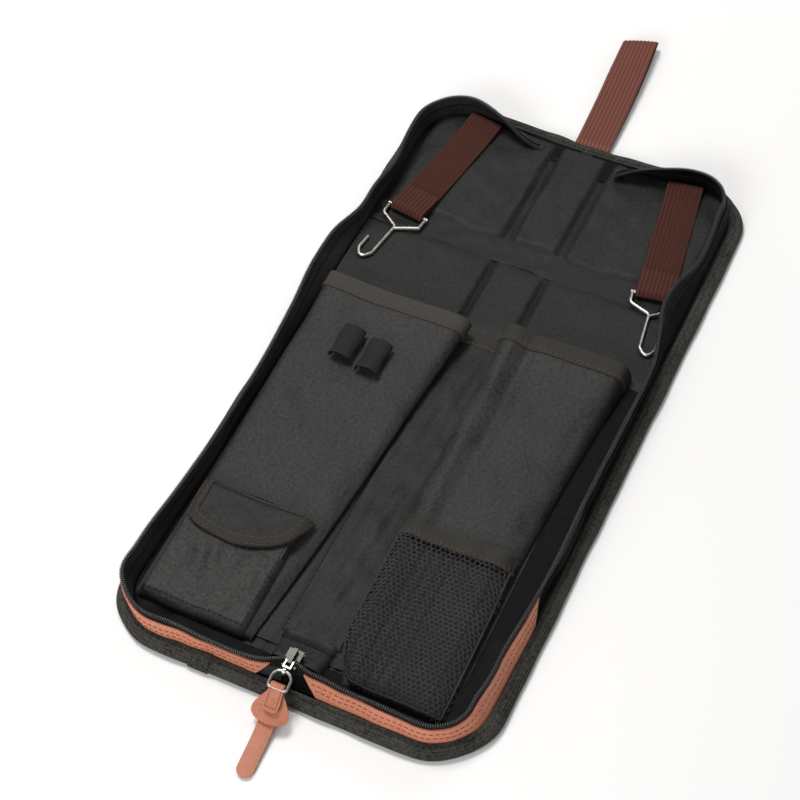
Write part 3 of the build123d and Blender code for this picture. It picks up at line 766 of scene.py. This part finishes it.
# ---- stick pockets
# Heights of a stick pocket's top, and where its two long edges run, each by y.
STICK_POCKETS = {
    "left": {
        "low": -209.0, "high": 45.5, "flat": (0.118, 0.256),
        "top": [(-215, 8.8), (-150, 10.6), (-80, 12.6), (-20, 15.2), (19, 17.4), (34, 20.5), (46, 22.2)],
        "inner": [(-209, -30.5), (-141, -23.5), (-60, -17.0), (0, -12.5), (46, -7.5)],
        "creases": [((-98, -40), (-58, -88), 0.9), ((-30, 8), (-66, -34), 0.7),
                    ((-26, -70), (-44, -120), 0.8), ((-92, 30), (-84, -30), 0.6),
                    ((-24, -150), (-33, -196), 0.7)],
    },
    "right": {
        "low": -214.0, "high": 53.5, "flat": (0.102, 0.269),
        "top": [(-215, 8.6), (-150, 10.6), (-80, 12.8), (-20, 15.2), (26, 17.4), (42, 20.4), (54, 22.2)],
        "inner": [(-214, 27.5), (-188, 19.0), (-150, 16.8), (-81, 15.0), (0, 13.5), (54, 12.8)],
        "outer": [(-214, 91.0), (-150, 89.0), (-103, 88.5), (-54, 90.0), (0, 93.0), (54, 97.0)],
        "creases": [((28, 30), (58, -20), 0.8), ((84, 36), (70, -30), 0.9), ((34, -34), (62, -86), 0.8),
                    ((80, -50), (66, -98), 0.6)],
    },
}


def left_section(y):
    """The left pocket's x and z across the bag at y, from its outer foot to its inner one."""
    top, inner = (float(eased(y, STICK_POCKETS["left"][edge])) for edge in ("top", "inner"))
    sag = 0.6 + 1.0 * float(smooth((y - 10) / 36))
    return [(-106.4, SEWN), (-106.8, (SEWN + top) * 0.5), (-105.6, top - 2.2), (-101.5, top - 0.5),
            (-88, top - sag * 0.5), (-70, top - sag * 0.9), (-52, top - sag * 0.5), (inner - 26, top - 0.1),
            (inner - 9, top + 0.1), (inner - 2.2, top - 1.5), (inner - 0.2, top * 0.72),
            (inner - 2.5, top * 0.5), (inner - 6.5, SEWN + 1.5), (inner - 12, SEWN)]


def right_section(y):
    """The right pocket's x and z from its inner foot to its outer one, with a pleat."""
    top, inner, outer = (float(eased(y, STICK_POCKETS["right"][edge])) for edge in ("top", "inner", "outer"))
    pleat = 1.0 + 2.0 * float(smooth((y + 110) / 130))
    hem = float(smooth((y - 15) / 36))
    return [(inner + 10.0, SEWN), (inner + 4.0, SEWN + 1.2), (inner + 0.6, top * 0.45),
            (inner + 0.4, top * 0.72), (inner + 3.2, top - 1.3), (inner + 9.0, top + 0.5),
            (inner + 15.5, top - 0.3 - pleat * 0.35), (inner + 21, top - pleat),
            (inner + 29, top - pleat * 0.35), (56, top - 0.9 * hem), (70, top - 0.6 * hem),
            (outer - 10, top - 0.4), (outer - 3.5, top - 1.8), (outer - 0.4, top * 0.66),
            (outer + 0.6, top * 0.45), (outer + 0.2, SEWN)]


def section(side, y, count=46):
    """A rounded line across a stick pocket, as x and z."""
    corners = left_section(y) if side == "left" else right_section(y)
    run = np.linspace(0, len(corners) - 1, count)
    return np.stack([eased(run, list(enumerate(column))) for column in zip(*corners)], 1)


def creases(x, y, side):
    """Slack in a stick pocket's cloth: broad swells, fine lengthwise wrinkles and a few folds."""
    seed = 51 if side == "left" else 52
    folds = sum(height * crease(x, y, start, end, 6.0)
                for start, end, height in STICK_POCKETS[side]["creases"])
    return 0.5 * ripple(x, y * 0.6, seed, 46.0) + 0.22 * ripple(x, y * 0.45, seed + 4, 13.0) + folds


def pocket_grid(side, y_low, y_high, count):
    """The pocket's cloth between two heights along the bag."""
    rows = []
    for y in np.linspace(y_low, y_high, count):
        x, z = section(side, y).T
        rows.append(np.stack([x, np.full(len(x), y), z], 1))
    grid = np.stack(rows, 0)
    soft = smooth((grid[:, :, 2] - 8.0) / 4.0)
    grid[:, :, 2] += soft * creases(grid[:, :, 0], grid[:, :, 1], side)
    middle = np.linspace(-1, 1, grid.shape[1])
    edge = smooth((grid[:, :, 1] - (y_high - 40.0)) / 40.0)
    grid[:, :, 1] += edge * 1.6 * (middle[None, :] ** 2 - 0.4)
    return grid


def surface(side, x, y):
    """The height of a stick pocket's front at a place, or of the panel beside it."""
    flat_x, flat_y = np.ravel(x), np.ravel(y)
    out = np.full(len(flat_x), 6.0)
    for k, (at_x, at_y) in enumerate(zip(flat_x, flat_y)):
        line = section(side, at_y)
        (x0, z0), (x1, z1) = line[:-1].T, line[1:].T
        met = (np.minimum(x0, x1) <= at_x) & (at_x <= np.maximum(x0, x1))
        if met.any():
            out[k] = (z0 + (z1 - z0) * (at_x - x0) / (x1 - x0 + 1e-9))[met].max()
    out += creases(flat_x, flat_y, side)
    return out.reshape(np.shape(x))


def stick_pocket(side, sign):
    """The pocket's front and gusset in one cloth, closed at its foot, with a hem round its mouth."""
    low, high, flat = (STICK_POCKETS[side][key] for key in ("low", "high", "flat"))
    grid = pocket_grid(side, low, high, 96)
    foot = []
    for t in (1.0, 0.8, 0.5, 0.2):
        row = grid[0].copy()
        row[:, 1] -= 0.9 * math.sin(math.pi / 2 * t) + 0.6 * t
        row[:, 2] = SEWN + (row[:, 2] - SEWN) * (1 - t ** 1.5)
        foot.append(row)
    front = f"{side}_stick_pocket"
    front = cloth(front, np.concatenate([np.stack(foot, 0), grid], 0), 0.8, POCKET, "pocket_cloth", sign,
                  front + "_front", front + "_gusset", sharp=60.0)

    hem = pocket_grid(side, high - 10.5, high + 0.9, 9)
    hem[:, :, 1] += grid[-1, :, 1][None, :] - hem[-1, :, 1][None, :] + 0.9
    lift = normals_of(hem)
    lift *= np.sign(lift[4, 20, 2])
    hem = hem + lift * 0.65
    cloth(f"{side}_stick_pocket_hem_tape", hem, 0.6, MOUTH_TAPE_WITH_PAINTED_HIGHLIGHT[side], "hem_cloth", sign,
          f"{side}_stick_pocket_hem", sharp=60.0)
    for row in (1, 2):
        stitches(f"{side}_hem_stitches_{row}", hem[row, 3:-3], "hem_cloth", sign, lift[row, 3:-3])


# ---- small flap pocket and key loops
def patch_grid(x_range, y_range, lift, nu, nv):
    """A rectangle of cloth that lies on the left stick pocket."""
    x, y = plan(np.linspace(*x_range, nu), np.linspace(*y_range, nv))
    return np.dstack([x, y, surface("left", x, y) + lift])


FLAP_EDGE = [(-103.0, -150.0), (-101.0, -154.5), (-98.0, -157.0), (-93.0, -159.5), (-87.0, -161.0),
             (-76.0, -162.3), (-66.0, -162.2), (-55.0, -160.0), (-47.0, -156.6), (-40.0, -152.0),
             (-36.0, -147.5), (-32.5, -139.0), (-30.0, -129.5)]
SMALL_CREASES = [((-88, -150), (-76, -200), -1.1), ((-80, -150), (-68, -196), 1.0),
                 ((-52, -148), (-66, -186), -0.9), ((-46, -166), (-44, -202), 0.7)]


def flap_height(x, y):
    """The flap's surface: sewn down along its top and lifted by the pocket's mouth below it."""
    base = surface("left", np.clip(x, -104.0, -36.0), y)
    rise = smooth((-124.0 - y) / 8.0)
    side = smooth(np.minimum(x + 106.0, -27.0 - x) / 9.0)
    return base + 0.9 + (7.4 * (0.35 + 0.65 * side) + 0.7 * ripple(x, y, 63, 26.0)) * rise


def small_pocket():
    """A full little pocket on the left stick pocket, its sides and foot turned down and sewn."""
    grid = patch_grid((-104.6, -35.6), (-210.4, -128.0), 0.0, 48, 52)
    x, y = grid[:, :, 0], grid[:, :, 1]
    edge = np.minimum(np.minimum(x - x[0, 0], x[-1, 0] - x), y - y[0, 0])
    belly = smooth((y + 209.0) / 26.0)
    wrinkle = 0.5 * ripple(x, y, 61, 24.0) + 0.25 * ripple(x, y, 62, 9.0)
    wrinkle = wrinkle + sum(height * crease(x, y, start, end, 4.5) for start, end, height in SMALL_CREASES)
    grid[:, :, 2] += 0.7 + (3.2 + 1.7 * belly + wrinkle) * quarter(edge / 2.2)
    grid[:, 1, 1] = -211.3
    grid[:, 1, 2] = 0.5 * (grid[:, 2, 2] + 5.4)
    grid[:, 0, 1:] = -211.9, 5.2
    pocket = cloth("small_pocket", grid, 0.8, SMALL_POCKET, "pocket_cloth", "left_half",
                   "small_pocket_front", "small_pocket_gusset", sharp=60.0)
    for label, line in (("outer", grid[2]), ("inner", grid[-3]), ("foot", grid[2:-2, 2])):
        stitches(f"small_pocket_{label}_stitches", line, "pocket_cloth", "left_half")


def pocket_flap():
    """The flap, sewn along its top over the pocket's mouth, its curved edge bound, with patches below."""
    s, t = plan(np.linspace(0, 1, 60), np.linspace(0, 1, 30))
    x = -103.0 + 73.0 * s
    seam = -124.4 - 3.6 * s ** 3 - 0.8 * np.sin(s * 9.0)
    y = seam + (np.minimum(eased(x, FLAP_EDGE), seam - 0.6) - seam) * t
    flap = cloth("pocket_flap_cloth", np.dstack([x, y, flap_height(x, y)]), 0.8, FLAP, "pocket_cloth",
                 "pocket_flap", "pocket_flap")

    edge = resampled([(-103.0, -124.4)] + FLAP_EDGE, 1.4)
    along = headings(edge)
    inner = np.stack([running_mean(-along[:, 1], 4), running_mean(along[:, 0], 4)], 1)
    rows = []
    for inset, lift in ((6.6, 0.75), (4.8, 0.95), (2.4, 1.0), (0.3, 0.8), (-0.7, -0.2), (0.0, -1.3),
                        (3.0, -1.5)):
        x, y = (edge + inner * inset).T
        rows.append(np.column_stack([x, y, flap_height(x, y) + lift]))
    cloth("pocket_flap_edge", np.stack(rows, 1), 0.55, HEM, "binding_tape", "pocket_flap",
          "pocket_flap_binding", sharp=60.0)
    for row, label in ((1, "inner"), (3, "outer")):
        stitches(f"pocket_flap_{label}_stitches", rows[row], "binding_tape", "pocket_flap")
    for name, body, lift, low, high in (("closure_loop_patch", "left_half", 6.2, -153.0, -138.0),
                                        ("closure_hook_patch", "pocket_flap", 7.0, -152.0, -137.0)):
        cloth(f"{name}_face", patch_grid((-80.0, -55.0), (low, high), lift, 12, 10), 0.5, PATCH,
              "hook_and_loop", body, name)


def key_loops():
    """Two upright loops of elastic that hold a drum key."""
    for name, centre, low, high in (("key_loop_outer", -71.0, -13.5, 10.5),
                                    ("key_loop_inner", -51.0, -17.5, 6.5)):
        y = np.linspace(low, high, 12)
        rows = []
        for k, angle in enumerate(np.linspace(math.radians(-28), math.radians(208), 26)):
            x = np.full(12, centre + 7.6 * math.cos(angle))
            z = surface("left", x, y) + 4.15 + 4.1 * math.sin(angle)
            rows.append(np.stack([x + 0.35 * np.sin(y * 0.35 + k * 0.2), y, z], 1))
        cloth(name + "_elastic", np.stack(rows, 0), 1.0, BLACK, "black_elastic", "left_half", name)
        y = np.linspace(low + 1, high - 1, 20)
        for label, offset in (("a", -8.2), ("b", 8.2)):
            x = np.full(20, centre + offset)
            stitches(f"{name}_stitches_{label}", np.stack([x, y, surface("left", x, y)], 1),
                     "black_elastic", "left_half")


# ---- mesh pocket
# Where the net's long edges run, by y.
NET_INNER = [(-214, 33.0), (-206, 26.0), (-190, 18.5), (-150, 17.0), (-103, 16.0)]
NET_OUTER = [(-214, 89.0), (-150, 88.0), (-103, 86.5)]
NET_INNER_SEAM = [(-214, 33.5), (-206, 26.2), (-190, 18.8), (-150, 17.2), (-103, 16.4)]
NET_OUTER_SEAM = [(-214, 88.4), (-150, 87.6), (-103, 86.2)]


def mesh_height(x, y):
    """The net's height above the stick pocket, full in the middle and down at its edges."""
    x_in, x_out = eased(y, NET_INNER), eased(y, NET_OUTER)
    edge = np.minimum(np.minimum(x - x_in, x_out - x), y + 214.5)
    rise = quarter(edge / 9.0)
    slack = 0.6 * ripple(x, y, 73, 22.0) * rise
    return surface("right", np.clip(x, x_in + 1.2, x_out - 0.8), y) + 0.4 + 4.4 * rise + slack


def net_cells(pitch, rows, columns):
    """Corners in plan, and pairs of joined corners, of the six-sided holes inside the net's edges."""
    found, corners, pairs = {}, [], set()
    turns = [math.radians(60 * k + 30) for k in range(6)]
    radius = pitch / math.sqrt(3)
    for row in range(rows):
        y = -213.0 + row * pitch * 0.866
        x_in, x_out = float(eased(y, NET_INNER)) + 1.0, float(eased(y, NET_OUTER)) - 1.0
        for column in range(columns):
            x = 14.0 + column * pitch + (pitch / 2 if row % 2 else 0)
            if not (x_in - 0.4 < x < x_out + 0.4 and y < -104.0):
                continue
            ring = []
            for turn in turns:
                corner = (x + radius * math.cos(turn), y + radius * math.sin(turn))
                key = (round(corner[0] * 20), round(corner[1] * 20))
                if key not in found:
                    found[key] = len(corners)
                    corners.append(corner)
                ring.append(found[key])
            pairs.update(tuple(sorted(pair)) for pair in zip(ring, ring[1:] + ring[:1]))
    return np.array(corners), sorted(pairs)


def net():
    """A knitted net of six-sided holes, each side a yarn that thins in its middle."""
    flat, pairs = net_cells(3.15, 42, 26)
    x, y = flat.T
    place = np.stack([x + 0.55 * ripple(x, y, 71, 20.0), y + 0.55 * ripple(x, y, 72, 20.0),
                      mesh_height(x, y)], 1)
    points, faces, uvs = [], [], []
    for a, b in pairs:
        p, q = place[a], place[b]
        along = unit(q - p)
        side = unit(np.cross(along, UP))
        up = np.cross(side, along)
        start = len(points)
        for end, size in ((p, 0.5), ((p + q) / 2, 0.36), (q, 0.5)):
            for u, v in ((1, 0), (0, 0.8), (-1, 0), (0, -0.8)):
                points.append(end + side * u * size + up * v * size)
                uvs.append((end[0] + u * 0.3, end[1] + v * 0.3))
        for k in range(8):
            here, beside = start + k, start + k - k % 4 + (k + 1) % 4
            faces.append([here, beside, beside + 4, here + 4])
        faces += [[start + 3, start + 2, start + 1, start], [start + 8, start + 9, start + 10, start + 11]]
    make("mesh_pocket_net", points, faces, uvs, MESH, "mesh_cloth", 1.0, ["mesh_pocket_panel"], 70.0)


def net_edges():
    """The bound mouth of the mesh pocket, turned in on the right, and the net's sewn edge."""
    x, y = plan(np.linspace(16.2, 87.6, 60), np.linspace(-112.5, -102.0, 9))
    y = y + 0.8 * np.cos(x / 14.0)
    end = smooth((x - 83.0) / 5.0)
    z = mesh_height(x, y) * (1 - end) + (surface("right", np.clip(x, 0, 87.5), y) + 1.6) * end
    z = z + 0.35 + 0.35 * np.sin(np.linspace(0, math.pi, 9))[None, :]
    grid = np.dstack([x, y, z])
    cloth("mesh_pocket_mouth", grid, 0.8, HEM, "hem_cloth", 1.0, "mesh_pocket_binding")
    for row in (1, 2):
        stitches(f"mesh_pocket_mouth_stitches_{row}", grid[:, row], "hem_cloth", 1.0)

    y = np.linspace(-110.0, -213.0, 60)
    x = np.concatenate([eased(y, NET_INNER_SEAM), np.linspace(34.0, 88.4, 30),
                        eased(y, NET_OUTER_SEAM)[::-1]])
    y = np.concatenate([y, np.full(30, -213.6), y[::-1]])
    line = resampled(np.stack([x, y, mesh_height(x, y) + 0.25], 1), 2.0)
    tube("mesh_pocket_seam", line, 0.8, HEM, "hem_cloth", 1.0)


# ---- spine: pocket and zip end
SPINE_CREASES = [((-14, 20), (10, -22)), ((12, -40), (-10, -78)), ((-12, -96), (12, -128)),
                 ((10, -140), (-8, -180))]


def spine_pocket():
    """The narrow pocket down the spine, with its hem."""
    half_width = 17.4
    x, y = plan(np.linspace(-half_width, half_width, 24), np.linspace(-196.0, 47.5, 60))
    y = y + 1.2 * np.cos(x / 11.0)
    z = 5.95 + 0.9 * np.cos(x / half_width * math.pi / 2)
    z = z + 0.55 * ripple(x, y, 81, 28.0) + 0.35 * ripple(x, y, 82, 11.0)
    z = z + sum(0.9 * crease(x, y, start, end, 4.0) for start, end in SPINE_CREASES)
    grid = np.dstack([x, y, z])
    # The spine pocket takes the darker lining cloth rather than the pocket cloth, as painted shade in the
    # hollow between the stick pockets.
    panel = cloth("spine_pocket", grid, 0.6, LINING, "pocket_cloth", "spine", "spine_pocket_panel")
    hem = grid[:, -9:].copy()
    hem[:, :, 1] = grid[:, -1:, 1] + np.linspace(-9.5, 0.6, 9)[None, :]
    hem[:, :, 2] = grid[:, -1:, 2] + 0.65
    cloth("spine_pocket_hem_tape", hem, 0.6, HEM, "hem_cloth", "spine", "spine_pocket_hem")
    stitches("spine_pocket_hem_stitches", hem[:, 1], "hem_cloth", "spine")


def zip_end():
    """The cloth over the zip's end, rising to the slider, and the bridge of tape under it."""
    half_width, foot = 15.5, 5.3
    x, y = plan(np.linspace(-half_width, half_width, 28), np.linspace(-216.8, -195.0, 22))
    climb = smooth((-196.0 - y) / 20.0)
    z = 6.9 + 8.4 * climb * (1 - 0.35 * (x / half_width) ** 2) + 0.4 * ripple(x, y, 83, 15.0)
    grid = np.dstack([x, y, z])
    for edge, beside, out in ((0, 1, -0.9), (-1, -2, 0.9)):
        grid[[edge, beside], :, 0] += out
        grid[beside, :, 2] -= 0.35 * (grid[beside, :, 2] - foot)
        grid[edge, :, 2] = foot
    cloth("zip_end_cover", grid, 0.8, POCKET, "pocket_cloth", "spine", "zipper_end_patch", sharp=60.0)
    hem = grid[:, -7:].copy()
    hem[:, :, 2] += 0.6
    stitches("zip_end_cover_stitches", hem[:, 2], "pocket_cloth", "spine")
    cloth("zip_end_cover_hem", hem, 0.6, BAND, "hem_cloth", "spine")

    s, t = plan(np.linspace(-1, 1, 20), np.linspace(0, 1, 12))
    grid = np.dstack([s * (17.5 - 12.0 * t ** 1.4), -227.6 + 9.2 * t ** 1.3, SEWN + 10.9 * t])
    cloth("zip_bridge", grid, 0.8, TAPE, "zipper_tape", "spine", "zipper_end_tape")


# ---- handle and hanger straps
def ribbon(path, width, across):
    """A ribbon grid: a path in 3-D with a constant width along a direction."""
    share = np.linspace(-0.5, 0.5, 15)
    return path[:, None] + np.asarray(across, float)[None, None] * (width * share)[None, :, None]


def rib_lines(grid):
    """Nine lines along a ribbon grid, evenly spread between its columns."""
    for k in range(9):
        column = 0.9 + k * 1.525
        low = int(column)
        yield k + 1, grid[:, low] * (1 - column + low) + grid[:, low + 1] * (column - low)


def handle():
    """A doubled, ribbed elastic band sewn into the top edge, open like an eye at its far end."""
    path = [(223.5, 1.9), (234, 1.9), (240, 2.2), (252, 1.7), (275, 1.3), (310, 1.4), (336, 1.9),
            (343.5, 2.8), (347.0, 5.6), (344.6, 8.8), (338, 9.7), (322, 9.0), (296, 7.4), (268, 5.6),
            (250, 4.4), (241, 3.7), (235, 3.1), (224, 3.0)]
    grid = ribbon(smooth_line([(0, y, z) for y, z in path], 1.8), 24.5, (1, 0, 0))
    x, y, z = (grid[:, :, k].copy() for k in range(3))
    curl = 0.9 * (1 - np.cos(x / 12.0 * 1.2)) * np.where(z > 5, -1.0, 0.3)
    grid[:, :, 2] += smooth((y - 240.0) / 90.0) * curl
    grid[:, :, 1] += smooth((y - 285.0) / 60.0) * 4.2 * (x / 12.0 - 0.3)
    grid[:, :, 0] -= np.clip((y - 240.0) / 105.0, 0, 1) ** 1.4 * 5.6 + 0.08 * x * smooth((y - 300.0) / 45.0)
    pieces = [cloth("handle_webbing", grid, 1.1, BROWN, "brown_elastic", None, "handle_loop",
                    "handle_anchor", facing=grid - np.array([0, 290.0, 5.2]))]
    for number, line in rib_lines(grid):
        line = line[line[:, 1] > 238.8]
        facing = unit(np.cross(np.gradient(line, axis=0), (1.0, 0, 0)))
        facing *= np.sign(np.sum(facing * (line - (0, 290.0, 5.6)), axis=1))[:, None]
        pieces.append(tube(f"handle_webbing_rib_{number}", line + facing * 0.05, 0.42, BROWN,
                           "brown_elastic", None))
    for piece in pieces:
        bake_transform(piece)


# A hanger strap's line, as distance from its root and height: a folded root, the run, and the sleeve.
STRAP_LINE = [(13, 8.6), (7, 8.9), (3.4, 9.6), (2.8, 11.0), (5.0, 12.0), (10, 11.6), (20, 10.4), (40, 9.9),
              (65, 9.7), (92, 9.4), (101.0, 8.3), (105.6, 9.4), (103.5, 11.8), (99, 11.6), (92, 10.8),
              (84, 10.6)]


def hanger_strap(side, sign):
    """A ribbed elastic strap sewn to the top wall, with a sleeve for its wire hook at the end."""
    turn = math.radians(8.5) * sign
    along = np.array([math.sin(turn), -math.cos(turn), 0.0])
    across = np.array([math.cos(turn), math.sin(turn), 0.0])
    root = np.array([72.0 * sign, 226.0, 0.0])
    path = smooth_line([root + along * run + (0, 0, height) for run, height in STRAP_LINE], 1.6)
    grid = ribbon(path, 24.0, across)
    bend = np.linspace(-1, 1, grid.shape[1])[None, :]
    ease = smooth(np.linspace(0, 1, grid.shape[0]) * 4)[:, None]
    grid[:, :, 2] += (0.5 * np.cos(bend * 1.5) - 0.2) * ease
    # the straps take the darker copy of the brown elastic, as painted shade
    pieces = [cloth(f"{side}_strap_webbing", grid, 1.0, STRAP_PAINTED_SHADE, "brown_elastic", None,
                    f"{side}_hanger_strap")]
    for number, line in rib_lines(grid):
        facing = unit(np.cross(np.gradient(line, axis=0), across))
        facing *= np.sign(facing[40, 2])
        pieces.append(tube(f"{side}_strap_rib_{number}", line + facing * 0.05, 0.4, STRAP_PAINTED_SHADE,
                           "brown_elastic", None))
    # each piece's transform is applied to its mesh
    for piece in pieces:
        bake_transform(piece)


# ---- zip pull
PULL_ROOT = -238.0   # y of the leather pull's fold round the ring


def pull_strip(name, path, half, arch, thickness, *stands_for, lean=-0.05):
    """A leather strip along a centre line, with its half width and how far its edges turn down."""
    share = np.linspace(-1, 1, 19)
    half = np.asarray(half, float)[:, None]
    off = lean * (path[:, 1] - PULL_ROOT)[:, None]
    side = np.stack([half * share + off, 0 * half * share, -arch * half / half.max() * share ** 2], 2)
    cloth(name, path[:, None] + side, thickness, LEATHER, "tan_leather", "leather_pull", *stands_for,
          sharp=50.0)


def straight_path(start, run, heights, count):
    """A path towards the bag's foot, with its height given by shares of its length."""
    share = np.linspace(0, 1, count)
    return share, np.stack([0 * share, start - run * share, eased(share, heights)], 1)


def zip_pull():
    """The leather pull: a long tail below, and a wide head folded round the ring and sewn down."""
    tip = -287.0
    path = smooth_line([(0, -241.0, 13.2), (0, -246, 9.2), (0, -252, 6.0), (0, -260, 3.9), (0, -274, 2.6),
                        (0, tip, 2.1)], 0.8)
    pull_strip("pull_tail", path, 5.0 * quarter((path[:, 1] - tip) / 5.0) + 0.05, 0.3, 1.5,
               "leather_pull_tail")
    path = smooth_line([(0, -238.2, 15.4), (0, -239.4, 17.6), (0, -237.2, 20.4), (0, -234.4, 18.7),
                        (0, -235.0, 16.2)], 0.5)
    pull_strip("pull_neck", path, np.full(len(path), 4.1), 0.0, 1.1, lean=0.0)
    heights = [(0, 18.8), (0.14, 16.8), (0.35, 13.2), (0.6, 10.2), (0.8, 8.6), (1.0, 7.4)]
    share, path = straight_path(-236.4, 18.6, heights, 40)
    half = eased(share, [(0, 4.2), (0.14, 4.7), (0.3, 7.4), (0.5, 10.4), (0.68, 11.2), (0.84, 9.6),
                         (0.94, 6.4), (1.0, 1.2)])
    pull_strip("pull_head", path, half, 1.3, 1.9, "leather_pull_head")
    share, path = straight_path(-236.0, 14.0, [(0, 20.4), (0.2, 18.9), (0.5, 16.0), (1.0, 12.2)], 34)
    half = eased(share, [(0, 4.2), (0.3, 4.5), (0.8, 4.7), (0.93, 4.0), (1.0, 1.4)])
    pull_strip("pull_tongue", path, half, 0.35, 1.3)
    row = path[8:29]
    foot = row[-1] + np.linspace(-3.0, 3.0, 6)[:, None] * (1.0, 0, 0)
    line = np.concatenate([row + (-3.3, 0, 0), foot, row[::-1] + (3.3, 0, 0)])
    line[:, 0] -= 0.05 * (line[:, 1] - PULL_ROOT)
    stitches("pull_tongue_stitches", line, "tan_leather", "leather_pull", (0.0, -0.3, 0.95), 1.9, 1.3, 0.45)


# ---- everything
def both_sides(*builders):
    for side, sign in SIDES:
        for build in builders:
            build(side, sign)


both_sides(padded_shell, bound_edge)
both_sides(standing_wall, zip_tape, wall_tuck, zip_coil, leather_strip)
both_sides(slip_pocket)
both_sides(stick_pocket)
small_pocket()
pocket_flap()
key_loops()
net()
net_edges()
spine_pocket()
zip_end()
handle()
both_sides(hanger_strap)
zip_pull()

# metal parts keep their modelled shape and get a plated finish
finishes = {"slider_body": GUNMETAL, "puller_link": STEEL, "puller_ring": STEEL, "left_hanger_hook": WIRE,
            "right_hanger_hook": WIRE}
for node, finish in finishes.items():
    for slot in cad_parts[node].material_slots:
        slot.material = finish

# pale floor, just under the bag
reach, level = 4.0, -0.0006
floor_mesh = bpy.data.meshes.new("floor")
floor_mesh.from_pydata([(x, y, level) for x, y in ((-reach, -reach), (reach, -reach), (reach, reach),
                                                   (-reach, reach))], [], [(0, 1, 2, 3)])
floor_mesh.materials.append(PAPER)
floor = bpy.data.objects.new("floor", floor_mesh)
bpy.context.scene.collection.objects.link(floor)
